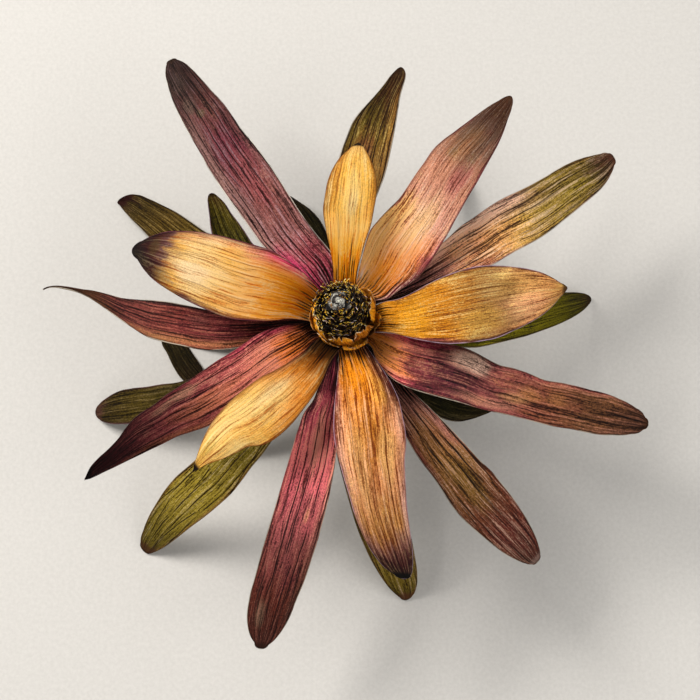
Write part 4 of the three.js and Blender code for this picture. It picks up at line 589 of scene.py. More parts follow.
class Nodes:
    """Short names for building a node tree."""

    def __init__(self, name):
        self.mat = bpy.data.materials.new(name)
        self.mat.use_nodes = True
        self.tree = self.mat.node_tree
        self.tree.nodes.clear()

    def node(self, kind, **props):
        n = self.tree.nodes.new(kind)
        for k, v in props.items():
            setattr(n, k, v)
        return n

    def put(self, socket, value):
        if isinstance(value, bpy.types.NodeSocket):
            self.tree.links.new(value, socket)
        elif isinstance(value, str):
            socket.default_value = linear(value)
        else:
            socket.default_value = value

    def math(self, op, a, b=0.0, c=None, clamp=False):
        n = self.node("ShaderNodeMath", operation=op, use_clamp=clamp)
        self.put(n.inputs[0], a)
        self.put(n.inputs[1], b)
        if c is not None:
            self.put(n.inputs[2], c)
        return n.outputs[0]

    def add(self, a, b): return self.math("ADD", a, b)
    def sub(self, a, b): return self.math("SUBTRACT", a, b)
    def mul(self, a, b): return self.math("MULTIPLY", a, b)

    def ramp01(self, x, lo, hi):
        """0 at lo, 1 at hi, smooth; lo may be above hi."""
        n = self.node("ShaderNodeMapRange", interpolation_type="SMOOTHSTEP")
        self.put(n.inputs["Value"], x)
        a, b = (lo, hi) if lo < hi else (hi, lo)
        n.inputs["From Min"].default_value = a
        n.inputs["From Max"].default_value = b
        n.inputs["To Min"].default_value = 0.0 if lo < hi else 1.0
        n.inputs["To Max"].default_value = 1.0 if lo < hi else 0.0
        return n.outputs["Result"]

    def vec(self, x, y, z=0.0):
        n = self.node("ShaderNodeCombineXYZ")
        for s, v in zip(n.inputs, (x, y, z)):
            self.put(s, v)
        return n.outputs[0]

    def split(self, v):
        n = self.node("ShaderNodeSeparateXYZ")
        self.put(n.inputs[0], v)
        return n.outputs[0], n.outputs[1], n.outputs[2]

    def attr(self, name):
        return self.node("ShaderNodeAttribute", attribute_name=name, attribute_type="GEOMETRY").outputs["Vector"]

    def noise(self, v, scale=1.0, detail=3.0, rough=0.55, lac=2.0, dist=0.0):
        n = self.node("ShaderNodeTexNoise", noise_dimensions="3D")
        self.put(n.inputs["Vector"], v)
        n.inputs["Scale"].default_value = scale
        n.inputs["Detail"].default_value = detail
        n.inputs["Roughness"].default_value = rough
        n.inputs["Lacunarity"].default_value = lac
        n.inputs["Distortion"].default_value = dist
        return n.outputs["Fac"]

    def voronoi(self, v, scale=1.0, feature="DISTANCE_TO_EDGE", random_=1.0, out="Distance"):
        n = self.node("ShaderNodeTexVoronoi", voronoi_dimensions="3D", feature=feature)
        self.put(n.inputs["Vector"], v)
        n.inputs["Scale"].default_value = scale
        n.inputs["Randomness"].default_value = random_
        return n.outputs[out]

    def mix(self, f, a, b, mode="MIX"):
        n = self.node("ShaderNodeMix", data_type="RGBA", blend_type=mode)
        n.clamp_factor = True
        self.put(n.inputs[0], f)
        self.put(n.inputs[6], a)
        self.put(n.inputs[7], b)
        return n.outputs[2]

    def ramp(self, x, stops, mode="LINEAR"):
        n = self.node("ShaderNodeValToRGB")
        n.color_ramp.interpolation = mode
        els = n.color_ramp.elements
        while len(els) > 1:
            els.remove(els[-1])
        els[0].position = stops[0][0]
        els[0].color = linear(stops[0][1])
        for p, c in stops[1:]:
            e = els.new(p)
            e.color = linear(c)
        self.put(n.inputs[0], x)
        return n.outputs["Color"]

    def finish(self, color, rough, height=None, bump=0.0002, spec=0.35, sheen=0.0, back=None):
        p = self.node("ShaderNodeBsdfPrincipled")
        self.put(p.inputs["Base Color"], color)
        self.put(p.inputs["Roughness"], rough)
        p.inputs["Specular IOR Level"].default_value = spec
        if sheen:
            p.inputs["Sheen Weight"].default_value = sheen
            p.inputs["Sheen Roughness"].default_value = 0.5
        if height is not None:
            b = self.node("ShaderNodeBump")
            b.inputs["Strength"].default_value = 1.0
            b.inputs["Distance"].default_value = bump
            self.put(b.inputs["Height"], height)
            self.tree.links.new(b.outputs["Normal"], p.inputs["Normal"])
        o = self.node("ShaderNodeOutputMaterial")
        self.tree.links.new(p.outputs[0], o.inputs[0])
        return self.mat


def stripes(N, phase, y, seed, width, jitter=0.45, reach=(0.40, 0.52), slow=0.045):
    """Thin lines that run along the blade, one to a unit of phase.  Each has its
    own offset, thickness and stretches where it fades away."""
    idx = N.math("FLOOR", phase)
    w = N.node("ShaderNodeTexWhiteNoise", noise_dimensions="2D")
    N.put(w.inputs["Vector"], N.vec(idx, seed, 0.0))
    rnd = w.outputs["Value"]
    d = N.math("ABSOLUTE", N.add(N.sub(N.math("FRACT", phase), 0.5), N.mul(N.sub(rnd, 0.5), jitter)))
    body = N.noise(N.vec(N.mul(idx, 3.17), N.mul(y, 0.17), seed + 5.0), 1.0, 2.0)
    d = N.math("DIVIDE", d, N.mul(N.add(N.mul(body, 1.3), 0.35), width))
    line = N.ramp01(d, 1.0, 0.35)
    there = N.ramp01(N.noise(N.vec(N.mul(idx, 5.3), N.mul(y, slow), seed + 11.0), 1.0, 1.0), reach[0], reach[1])
    return N.mul(line, there), idx, rnd


def blade_material(name, S, seed):
    """One dried blade.  S holds its colours and markings, placed by u (0 left
    margin, 1 right margin) and v (0 base, 1 tip)."""
    N = Nodes(name + "_skin")
    u, v, side = N.split(N.attr("lc"))
    x, y, xt = N.split(N.attr("mm"))
    top = N.ramp01(side, -0.5, 0.5)
    z0 = seed * 7.31
    # structure in mm, from slow wander to fine grain
    slow = N.noise(N.vec(N.mul(x, 0.06), N.mul(y, 0.035), z0), 1.0, 2.0)
    quick = N.noise(N.vec(N.mul(x, 0.30), N.mul(y, 0.14), z0 + 2.0), 1.0, 2.0)
    xs = N.add(x, N.add(N.mul(N.sub(slow, 0.5), 1.7), N.mul(N.sub(quick, 0.5), 0.45)))
    streak = N.noise(N.vec(N.mul(xs, 0.60), N.mul(y, 0.045), z0 + 3.0), 1.0, 4.0, 0.6)
    fibre = N.noise(N.vec(N.mul(xs, 1.7), N.mul(y, 0.045), z0 + 9.0), 1.0, 1.0)
    thread = N.noise(N.vec(N.mul(xs, 3.7), N.mul(y, 0.13), z0 + 13.0), 1.0, 1.5)
    fine = N.add(N.mul(fibre, 0.5), N.mul(thread, 0.5))
    mott = N.noise(N.vec(N.mul(x, 0.17), N.mul(y, 0.10), z0 + 17.0), 1.0, 5.0, 0.62)
    speck = N.noise(N.vec(N.mul(xs, 2.2), N.mul(y, 1.1), z0 + 23.0), 1.0, 4.0, 0.75)
    # the ramp along the blade, its boundaries drawn out into streaks
    vw = N.add(v, N.mul(N.sub(streak, 0.5), S.get("ragged", 0.20)))
    vw = N.add(vw, N.mul(N.sub(mott, 0.5), 0.22))
    vw = N.add(vw, N.mul(N.sub(speck, 0.5), 0.05))
    col = N.ramp(vw, S["base"])
    # the margins' own colour
    for edge, toward in (("left", u), ("right", N.sub(1.0, u))):
        for (c, w, v0, v1, k) in S.get(edge, []):
            e = N.add(toward, N.add(N.mul(N.sub(streak, 0.5), 0.20), N.mul(N.sub(mott, 0.5), 0.12)))
            m = N.ramp01(e, w, w * 0.15)
            band = N.mul(N.ramp01(vw, v0 - 0.08, v0 + 0.06), N.ramp01(vw, v1 + 0.08, v1 - 0.06))
            col = N.mix(N.mul(N.mul(m, band), k), col, c)
    # blotches
    for (u0, v0, ru, rv, c, k) in S.get("blobs", []):
        a = N.math("DIVIDE", N.sub(u, u0), ru)
        b = N.math("DIVIDE", N.sub(v, v0), rv)
        d = N.math("SQRT", N.add(N.mul(a, a), N.mul(b, b)))
        d = N.add(d, N.mul(N.sub(streak, 0.5), 1.4))
        d = N.add(d, N.mul(N.sub(mott, 0.5), 1.0))
        d = N.add(d, N.mul(N.sub(speck, 0.5), 1.0))
        col = N.mix(N.mul(N.ramp01(d, 1.15, 0.35), k), col, c)
    # mottling
    for (c, lo, hi, k) in S.get("mottle", []):
        m = N.ramp01(N.add(N.mul(mott, 0.55), N.mul(speck, 0.45)), lo, hi)
        col = N.mix(N.mul(m, k), col, c)
    # tone: fine lengthwise striation, pixel-fine grain, broad streaks
    ks, kb, kg = S.get("striae", 0.55), S.get("broad", 0.45), S.get("grain", 0.5)
    tone = N.add(N.mul(N.sub(fine, 0.5), 8.0 * ks), N.mul(N.sub(streak, 0.5), 1.6 * kb))
    tone = N.add(tone, N.mul(N.sub(speck, 0.5), 3.4 * kg))
    tone = N.add(tone, N.mul(N.sub(mott, 0.5), 1.0))
    dark = N.ramp01(tone, 0.0, -0.80)
    light = N.ramp01(tone, 0.05, 1.00)
    deep = N.mix(1.0, col, S.get("deep", "#40241a"), "MULTIPLY")
    col = N.mix(N.mul(dark, 0.95), col, deep)
    col = N.mix(N.mul(light, 0.52), col, S.get("glint", "ivory"))
    # the finest grain, about as long as it is wide
    grit = N.noise(N.vec(N.mul(x, 3.4), N.mul(y, 2.3), z0 + 41.0), 1.0, 2.0, 0.8)
    k = S.get("grit", 0.36)
    gain = N.add(N.mul(N.ramp01(grit, 0.34, 0.66), 2 * k), 1 - k)
    gritty = N.node("ShaderNodeVectorMath", operation="SCALE")
    N.put(gritty.inputs[0], col)
    N.put(gritty.inputs["Scale"], gain)
    col = gritty.outputs["Vector"]
    # long veins, with slanting ones that join them as forks
    vc, cell, strength, fade_v = S.get("veins", ("umber", 2.1, 0.4, 1.0))
    ph = N.add(N.math("DIVIDE", xs, cell), 0.37 * seed)
    v1_, i1, r1 = stripes(N, ph, y, seed + 0.5, S.get("vein_w", 0.085))
    v2_, i2, r2 = stripes(N, N.add(N.mul(ph, 0.63), N.mul(y, 0.030)), y, seed + 30.5, 0.05, reach=(0.50, 0.60), slow=0.09)
    v3_, i3, r3 = stripes(N, N.sub(N.mul(ph, 0.63), N.mul(y, 0.030)), y, seed + 60.5, 0.05, reach=(0.50, 0.60), slow=0.09)
    v4_, i4, r4 = stripes(N, N.mul(ph, 2.3), y, seed + 90.5, 0.10, reach=(0.44, 0.56), slow=0.06)
    net = N.math("MAXIMUM", v1_, N.mul(N.math("MAXIMUM", v2_, v3_), S.get("forks", 0.8)))
    net = N.math("MAXIMUM", net, N.mul(v4_, 0.28))
    reach = N.add(N.mul(N.ramp01(v, fade_v + 0.15, fade_v - 0.25), 0.82), 0.18)
    col = N.mix(N.mul(N.mul(net, reach), strength), col, vc)
    # midrib
    mid = N.ramp01(N.math("ABSOLUTE", N.add(xt, N.mul(N.sub(quick, 0.5), 0.5))), 0.30, 0.08)
    mid = N.mul(mid, N.mul(N.ramp01(v, 0.85, 0.3), S.get("midrib", 0.2)))
    col = N.mix(mid, col, vc)
    # dark thin streaks that run out from the base
    bc, bk, bv = S.get("foot", ("ink", 0.85, 0.16))
    fp = N.add(N.math("DIVIDE", N.add(x, N.mul(N.sub(quick, 0.5), 0.6)), S.get("foot_cell", 1.15)), 0.11 * seed)
    f1, fi, fr = stripes(N, fp, y, seed + 120.5, 0.34, reach=(0.30, 0.38), slow=0.02)
    far = N.sub(v, N.mul(N.sub(fr, 0.5), bv * 1.1))
    f1 = N.mul(f1, N.ramp01(far, bv + 0.05, bv - 0.05))
    col = N.mix(N.mul(f1, bk), col, bc)
    # painted shade: each blade is darkened in streaks next to the cone, where the cone and the blades above shade it
    base_painted_shade = N.mul(N.ramp01(v, bv * 0.75, bv * 0.2), S.get("painted_shade_at_base", 0.75))
    col = N.mix(N.mul(base_painted_shade, N.ramp01(streak, 0.62, 0.42)), col, N.mix(1.0, col, "#5a3a28", "MULTIPLY"))
    # the very tip, a small hard point
    tc, tv, tk = S.get("tip", ("bark", 0.985, 0.7))
    col = N.mix(N.mul(N.ramp01(N.add(v, N.mul(N.sub(speck, 0.5), 0.03)), tv - 0.012, tv + 0.006), tk), col, tc)
    # a darker line inside the margin, then the thin rim: the margin's own colour, and where it is pale also a painted
    # highlight along the rolled edge
    dist = N.math("MINIMUM", u, N.sub(1.0, u))
    dist = N.add(dist, N.mul(N.sub(speck, 0.5), 0.012))
    ends = N.math("MINIMUM", dist, N.mul(N.sub(1.0, v), S.get("end_rim", 7.0)))
    rc, rk, rw = S.get("rim", ("pale", 0.35, 0.022))
    inner = N.mul(N.ramp01(ends, rw * 3.4, rw * 1.2), 0.55)
    col = N.mix(inner, col, N.mix(1.0, col, S.get("seam", "#6a4138"), "MULTIPLY"))
    patchy = N.ramp01(N.noise(N.vec(N.mul(u, 3.0), N.mul(y, 0.09), z0 + 71.0), 1.0, 2.0), 0.34, 0.50)
    # tone along the blade, and the blade's cast: partly the blade's own colour, partly painted light and shade, darker
    # where a blade lies in shade and brighter where it is lit
    gain = N.ramp(vw, [(p, (k / 4,) * 3) for p, k in S.get("gain", [(0.0, 1.0), (1.0, 1.0)])])
    scaled = N.node("ShaderNodeVectorMath", operation="MULTIPLY")
    N.put(scaled.inputs[0], gain)
    scaled.inputs[1].default_value = [4 * k for k in S.get("cast_and_shade", (0.4, 0.35, 0.25))]
    toned = N.node("ShaderNodeVectorMath", operation="MULTIPLY")
    N.put(toned.inputs[0], col)
    N.put(toned.inputs[1], scaled.outputs["Vector"])
    cr, cg, cb = N.split(toned.outputs["Vector"])       # never over 0.94, with the hue kept
    most = N.math("MAXIMUM", N.math("MAXIMUM", cr, cg), cb)
    capped = N.node("ShaderNodeVectorMath", operation="SCALE")
    N.put(capped.inputs[0], toned.outputs["Vector"])
    N.put(capped.inputs["Scale"], N.math("DIVIDE", 0.94, N.math("MAXIMUM", most, 0.94)))
    col = capped.outputs["Vector"]
    # where the colour is at its brightest, the dark fibres are laid over it again
    over = N.mul(N.mul(dark, 0.62), N.ramp01(most, 0.85, 1.5))
    col = N.mix(over, col, N.mix(1.0, col, "#a87c58", "MULTIPLY"))
    # the rim, laid over the tone: where pale, partly a painted highlight on the rolled edge
    col = N.mix(N.mul(N.mul(N.ramp01(ends, rw, rw * 0.45), patchy), rk * 0.75), col, rc)
    # the lower face is duller, with less yellow
    under = N.mix(0.35, N.mix(1.0, col, "#b5a890", "MULTIPLY"), S.get("under", "taupe"))
    col = N.mix(top, under, col)
    # relief
    h = N.sub(N.mul(fine, 0.8), N.mul(net, 0.75))
    h = N.add(h, N.mul(streak, 1.0))
    h = N.add(h, N.mul(speck, 0.30))
    h = N.sub(h, N.mul(f1, 0.6))
    rough = N.add(0.50, N.mul(speck, 0.30))
    return N.finish(col, rough, h, bump=S.get("bump", 0.00032), spec=S.get("spec", 0.12), sheen=0.0)


# Each blade's cast and its tone along the blade hold painted light and shade as well as colour; the lower leaves are
# darkened all over as painted shade under the bracts.
LOOKS = {
    "bract_01": dict(cast_and_shade=(1.0, 0.83, 0.53), gain=[(0.0, 1.6), (0.28, 2.4), (0.45, 1.65), (0.6, 1.02), (0.88, 0.96), (1.0, 1.15)],
        base=[(0.0, "umber"), (0.10, "#dc9808"), (0.28, "#e8a208"), (0.38, "#efb84a"), (0.48, "#f2ca80"), (0.62, "honey"), (0.84, "honey"), (0.98, "sand")],
        left=[("#b57c2a", 0.34, 0.58, 1.0, 0.75)], right=[("umber", 0.10, 0.0, 0.45, 0.55), ("ochre", 0.16, 0.3, 1.0, 0.65)],
        # painted highlight: the cream and ivory blobs in the outer half, where the arched blade faces the light
        mottle=[("cream", 0.52, 0.64, 0.6)], blobs=[(0.55, 0.66, 0.26, 0.20, "cream", 0.9), (0.58, 0.62, 0.12, 0.10, "ivory", 0.6)],
        veins=("brown", 1.5, 0.28, 0.9), striae=0.55, broad=0.40, grain=0.36, deep="#a8682a", foot=("ink", 0.95, 0.27), foot_cell=0.8, tip=("ink", 0.98, 1.0),
        rim=("bark", 0.8, 0.020), painted_shade_at_base=0.5, grit=0.22),
    # painted shade: bract_02's tone is kept very low near its base, which lies in shade
    "bract_02": dict(cast_and_shade=(1.0, 0.84, 0.6), gain=[(0.05, 0.04), (0.2, 0.1), (0.3, 0.4), (0.42, 0.85), (0.8, 1.0), (0.95, 1.4)],
        base=[(0.0, "umber"), (0.08, "amber"), (0.22, "#d9801a"), (0.40, "#ec9a38"), (0.55, "#efb366"), (0.66, "honey"), (0.80, "cream"), (0.95, "straw")],
        left=[("pinktan", 0.14, 0.10, 0.45, 0.7), ("tan", 0.10, 0.5, 1.0, 0.55)], right=[("#c8842e", 0.30, 0.05, 0.66, 0.8), ("ochre", 0.08, 0.2, 0.95, 0.7)],
        # painted highlight: the cream and ivory blobs on the outer half; the olive and gold ones are the blade's colour
        blobs=[(0.40, 0.64, 0.34, 0.24, "cream", 0.85), (0.34, 0.52, 0.14, 0.12, "ivory", 0.5), (0.35, 0.88, 0.22, 0.06, "olive", 0.5), (0.6, 0.76, 0.2, 0.1, "gold", 0.4)],
        mottle=[("apricot", 0.46, 0.36, 0.35), ("cream", 0.53, 0.64, 0.4)], veins=("ochre", 1.6, 0.45, 0.7), striae=0.55, broad=0.48, grain=0.32, deep="#b07434",
        foot=("ink", 0.95, 0.20), tip=("ink", 0.97, 1.0), rim=("umber", 0.85, 0.018), grit=0.20),
    "bract_03": dict(cast_and_shade=(1.0, 0.88, 0.54), gain=[(0.1, 1.6), (0.28, 1.0), (0.45, 1.15), (0.6, 0.7), (0.72, 0.58), (0.85, 1.3), (1.0, 1.0)],
        base=[(0.0, "umber"), (0.08, "#c98a14"), (0.30, "#cf9018"), (0.46, "ochre"), (0.62, "tan"), (0.82, "pinktan"), (1.0, "tan")],
        left=[("ochre", 0.20, 0.1, 0.55, 0.5), ("plum", 0.035, 0.1, 1.0, 0.8)], right=[("berry", 0.06, 0.05, 0.45, 0.7), ("plum", 0.045, 0.3, 1.0, 0.8)],
        blobs=[(0.40, 0.50, 0.22, 0.14, "ochre", 0.6), (0.55, 0.30, 0.3, 0.12, "gold", 0.6), (0.62, 0.80, 0.32, 0.12, "blush", 0.6), (0.35, 0.7, 0.2, 0.10, "sand", 0.25), (0.30, 0.78, 0.3, 0.14, "#c9a060", 0.5), (0.75, 0.62, 0.2, 0.12, "honey", 0.4)],
        mottle=[("cream", 0.53, 0.64, 0.55), ("brown", 0.47, 0.36, 0.65)], veins=("brown", 1.5, 0.25, 0.6), striae=0.5, broad=0.56, grain=0.64, deep="#8a5428",
        foot=("ink", 0.92, 0.16), tip=("bark", 0.98, 0.9), rim=("lilac", 0.85, 0.014), seam="#5a3040", grit=0.30),
    "bract_04": dict(cast_and_shade=(1.0, 0.83, 0.7), gain=[(0.08, 2.7), (0.3, 2.5), (0.45, 1.35), (0.6, 1.03), (0.75, 0.84), (0.86, 0.33), (1.0, 0.05)],
        base=[(0.0, "umber"), (0.07, "#d88e08"), (0.24, "#e69c0c"), (0.36, "#e6aa44"), (0.46, "#eabc70"), (0.58, "honey"), (0.68, "cream"), (0.77, "honey"), (0.82, "mauve"), (0.87, "#6a2830"), (0.94, "#48101a"), (1.0, "#380c14")],
        left=[("blush", 0.22, 0.38, 0.78, 0.6), ("rose", 0.32, 0.14, 0.46, 0.85), ("magenta", 0.15, 0.16, 0.38, 0.9), ("plum", 0.035, 0.2, 1.0, 0.9)],
        right=[("plum", 0.05, 0.3, 1.0, 0.9), ("ochre", 0.14, 0.15, 0.42, 0.4)],
        # painted highlight: the cream and ivory blobs in the outer half, where the arched blade faces the light
        blobs=[(0.55, 0.66, 0.34, 0.17, "cream", 0.9), (0.62, 0.70, 0.18, 0.10, "ivory", 0.7), (0.62, 0.34, 0.32, 0.12, "amber", 0.5), (0.36, 0.885, 0.26, 0.028, "#8a7440", 0.6), (0.86, 0.80, 0.26, 0.07, "honey", 0.8)],
        mottle=[("cream", 0.53, 0.66, 0.5), ("ochre", 0.45, 0.35, 0.3)], veins=("#a8621c", 1.6, 0.50, 0.75), striae=0.6, broad=0.44, grain=0.32, deep="#b0702e",
        foot=("ink", 0.95, 0.13), tip=("wine", 0.988, 0.7), rim=("plum", 0.85, 0.020), ragged=0.12, seam="#5a3040", grit=0.20),
    "bract_05": dict(cast_and_shade=(1.0, 0.79, 0.52), gain=[(0.1, 1.8), (0.3, 1.25), (0.5, 1.12), (0.75, 0.88), (0.86, 0.78), (0.95, 0.3)],
        base=[(0.0, "umber"), (0.07, "#cf8e08"), (0.18, "#d69610"), (0.30, "#d6902c"), (0.42, "#cf9450"), (0.52, "tan"), (0.64, "pinktan"), (0.80, "tan"), (0.88, "mauve"), (0.93, "wine"), (1.0, "#321019")],
        left=[("#a8640a", 0.34, 0.14, 0.36, 0.75), ("blush", 0.34, 0.38, 0.75, 0.75), ("lilac", 0.12, 0.30, 0.85, 0.6), ("berry", 0.04, 0.1, 0.7, 0.9)], right=[("blush", 0.40, 0.18, 0.6, 0.7), ("lilac", 0.16, 0.42, 0.86, 0.8), ("#3c0f1c", 0.44, 0.03, 0.38, 1.0), ("#a87850", 0.26, 0.50, 0.66, 0.6)],
        blobs=[(0.50, 0.50, 0.14, 0.24, "ochre", 0.65), (0.36, 0.22, 0.24, 0.12, "amber", 0.7), (0.70, 0.30, 0.14, 0.10, "honey", 0.5), (0.72, 0.58, 0.16, 0.14, "sand", 0.55), (0.30, 0.62, 0.16, 0.14, "sand", 0.5)],
        mottle=[("cream", 0.54, 0.66, 0.35), ("brown", 0.45, 0.34, 0.35)], veins=("brown", 2.3, 0.36, 0.80), striae=0.70, broad=0.42, grain=0.60, deep="#8c5a1c",
        foot=("ink", 0.95, 0.16), tip=("ink", 0.98, 1.0), rim=("lilac", 0.7, 0.014), pleat=0.13, grit=0.28, glint="#f2cfc4"),
    "bract_06": dict(cast_and_shade=(0.97, 0.82, 0.75), gain=[(0.1, 2.8), (0.3, 2.0), (0.42, 1.1), (0.6, 0.9), (0.74, 0.43), (0.86, 0.46), (1.0, 0.32)],
        base=[(0.0, "umber"), (0.07, "amber"), (0.20, "apricot"), (0.34, "peach"), (0.46, "blush"), (0.58, "pinktan"), (0.70, "pinktan"), (0.80, "taupe"), (0.90, "cocoa"), (1.0, "brown")],
        # painted light: the pale yellow bands on bract_06's left base brighten it where bract_01 shades it
        left=[("#ffd480", 0.50, 0.10, 0.44, 0.95), ("#f0a030", 0.5, 0.0, 0.16, 0.7), ("berry", 0.030, 0.25, 0.9, 0.8), ("pinktan", 0.2, 0.45, 0.65, 0.4)], right=[("#4a1a0c", 0.46, 0.03, 0.26, 0.9), ("#8a4030", 0.36, 0.26, 0.38, 0.5), ("#3c0c20", 0.15, 0.05, 0.34, 0.95), ("rose", 0.20, 0.30, 0.46, 0.4), ("berry", 0.05, 0.3, 1.0, 0.8)],
        blobs=[(0.50, 0.40, 0.26, 0.14, "cream", 0.55), (0.45, 0.18, 0.3, 0.10, "amber", 0.6), (0.09, 0.13, 0.05, 0.035, "pale", 0.9), (0.40, 0.74, 0.34, 0.10, "tan", 0.5), (0.30, 0.68, 0.10, 0.03, "olive", 0.35), (0.7, 0.62, 0.2, 0.08, "rose", 0.5)],
        mottle=[("cream", 0.54, 0.67, 0.4), ("dustrose", 0.46, 0.35, 0.6)], veins=("brown", 1.7, 0.30, 0.5), striae=0.55, broad=0.56, grain=0.59, deep="#7c4a30",
        foot=("ink", 0.92, 0.15), tip=("brown", 0.99, 0.6), rim=("pinktan", 0.3, 0.012), seam="#5a2c38", grit=0.30, glint="#f6e0d0"),
    "bract_07": dict(cast_and_shade=(0.72, 0.48, 0.44), gain=[(0.05, 1.6), (0.2, 2.8), (0.34, 2.4), (0.45, 2.0), (0.58, 0.95), (0.72, 0.38), (0.86, 0.16), (1.0, 0.1)],
        base=[(0.0, "bark"), (0.08, "umber"), (0.18, "apricot"), (0.30, "pinktan"), (0.44, "dustrose"), (0.62, "#83404a"), (0.76, "#8c4a50"), (0.88, "#601426"), (1.0, "#56101c")],
        left=[("#5c2434", 0.38, 0.12, 0.44, 0.95), ("berry", 0.15, 0.16, 0.42, 0.8), ("wine", 0.10, 0.7, 1.0, 0.6)], right=[("redbrown", 0.3, 0.05, 0.5, 0.5), ("tan", 0.22, 0.45, 0.8, 0.45)],
        blobs=[(0.20, 0.60, 0.14, 0.06, "greytan", 0.75), (0.24, 0.68, 0.12, 0.05, "greytan", 0.65), (0.6, 0.52, 0.25, 0.16, "tan", 0.4), (0.6, 0.2, 0.3, 0.08, "apricot", 0.5)],
        mottle=[("blush", 0.54, 0.66, 0.5), ("wine", 0.46, 0.36, 0.55)], veins=("#1d0a0a", 2.0, 0.95, 1.0), striae=0.7, broad=0.48, grain=0.74,
        foot=("ink", 0.95, 0.18), tip=("ink", 0.97, 0.8), rim=("mauve", 0.30, 0.016), glint="blush", vein_w=0.10, spec=0.06),
    # painted light: bract_08's tone is raised high at its base, which lies in the shade of bract_03 and the cone
    "bract_08": dict(cast_and_shade=(0.86, 0.64, 0.54), gain=[(0.04, 4.0), (0.17, 4.0), (0.26, 0.8), (0.42, 0.6), (0.56, 0.85), (0.7, 0.8), (0.86, 0.88), (1.0, 0.4)],
        base=[(0.0, "umber"), (0.04, "amber"), (0.12, "#f6b860"), (0.19, "#dc9c58"), (0.25, "#9c5850"), (0.34, "berry"), (0.42, "plum"), (0.54, "dustrose"), (0.66, "#96604a"), (0.80, "#7a5a3c"), (0.92, "#6a4a34"), (1.0, "#56341f")],
        left=[("magenta", 0.28, 0.17, 0.38, 0.75), ("rose", 0.12, 0.5, 0.9, 0.5), ("pink", 0.14, 0.10, 0.20, 0.7)], right=[("wine", 0.40, 0.17, 0.36, 0.9), ("berry", 0.20, 0.12, 0.6, 0.6)],
        blobs=[(0.22, 0.42, 0.28, 0.08, "#f0cfc0", 1.0), (0.20, 0.43, 0.22, 0.06, "#fff0e4", 0.9), (0.56, 0.41, 0.22, 0.06, "wine", 0.8), (0.84, 0.50, 0.14, 0.12, "blush", 0.7), (0.46, 0.62, 0.22, 0.05, "tan", 0.65), (0.62, 0.58, 0.16, 0.05, "sand", 0.5), (0.40, 0.70, 0.25, 0.04, "tan", 0.5),
               (0.45, 0.34, 0.5, 0.05, "wine", 0.75)],
        mottle=[("tan", 0.54, 0.66, 0.55), ("wine", 0.46, 0.36, 0.6)], veins=("#200b10", 2.1, 0.60, 0.62), striae=0.7, broad=0.30, grain=0.90,
        foot=("#2a0c0c", 0.80, 0.13), foot_cell=1.5, tip=("umber", 0.99, 0.7), rim=("pale", 0.75, 0.016), glint="blush", painted_shade_at_base=0.4),
    "bract_09": dict(cast_and_shade=(0.7, 0.62, 0.52), gain=[(0.06, 2.4), (0.16, 3.5), (0.3, 1.65), (0.42, 1.12), (0.6, 0.75), (0.75, 0.5), (0.9, 0.34)],
        base=[(0.0, "bark"), (0.06, "wine"), (0.14, "berry"), (0.28, "#8a5a5c"), (0.46, "dustrose"), (0.62, "berry"), (0.76, "dustrose"), (0.88, "#6a4844"), (1.0, "#5c4038")],
        left=[("#c09a98", 0.36, 0.30, 0.78, 0.8), ("#c23c74", 0.50, 0.02, 0.21, 0.85), ("wine", 0.05, 0.5, 1.0, 0.4)], right=[("#a8787a", 0.26, 0.26, 0.72, 0.65), ("wine", 0.12, 0.05, 0.3, 0.6)],
        blobs=[(0.30, 0.80, 0.20, 0.04, "#9a8078", 0.85), (0.46, 0.755, 0.12, 0.02, "greytan", 0.7), (0.3, 0.9, 0.35, 0.06, "#86706a", 0.6), (0.55, 0.50, 0.22, 0.12, "rose", 0.7), (0.2, 0.4, 0.2, 0.15, "mauve", 0.6)],
        mottle=[("blush", 0.55, 0.67, 0.4), ("wine", 0.46, 0.35, 0.6)], veins=("#1a080c", 2.3, 0.85, 1.0), striae=0.65, broad=0.52, grain=0.74,
        foot=("ink", 0.95, 0.14), tip=("umber", 0.99, 0.6), rim=("chalk", 0.95, 0.018), glint="lilac"),
    "bract_10": dict(cast_and_shade=(0.8, 0.57, 0.53), gain=[(0.1, 0.5), (0.2, 1.0), (0.32, 2.4), (0.44, 4.0), (0.56, 1.45), (0.7, 0.74), (0.86, 0.56), (1.0, 0.5)],
        base=[(0.0, "ink"), (0.08, "wine"), (0.18, "berry"), (0.32, "berry"), (0.42, "dustrose"), (0.54, "rose"), (0.68, "dustrose"), (0.84, "redbrown"), (1.0, "#5f3528")],
        # painted shadow: the near-black band on bract_10's left base is the shadow of bract_02
        left=[("#1c060a", 0.40, 0.1, 0.34, 0.9), ("redbrown", 0.18, 0.5, 0.9, 0.4)], right=[("wine", 0.24, 0.1, 0.36, 0.8), ("blush", 0.07, 0.36, 0.6, 0.6), ("taupe", 0.22, 0.55, 0.9, 0.5)],
        blobs=[(0.30, 0.90, 0.14, 0.05, "greytan", 0.75), (0.55, 0.36, 0.16, 0.12, "blush", 0.6), (0.66, 0.60, 0.05, 0.025, "sand", 0.4), (0.55, 0.10, 0.2, 0.08, "magenta", 0.8), (0.75, 0.2, 0.2, 0.06, "wine", 0.6)],
        mottle=[("blush", 0.54, 0.67, 0.45), ("wine", 0.46, 0.35, 0.55)], veins=("#1a080c", 2.2, 0.97, 1.0), striae=0.65, broad=0.48, grain=0.69,
        foot=("ink", 0.95, 0.16), tip=("bark", 0.985, 0.8), rim=("pale", 0.7, 0.018), glint="blush", vein_w=0.10),
    "bract_11": dict(cast_and_shade=(0.95, 0.76, 0.76), gain=[(0.1, 0.7), (0.25, 1.5), (0.42, 1.9), (0.56, 1.35), (0.72, 0.72), (0.86, 0.72), (1.0, 0.5)],
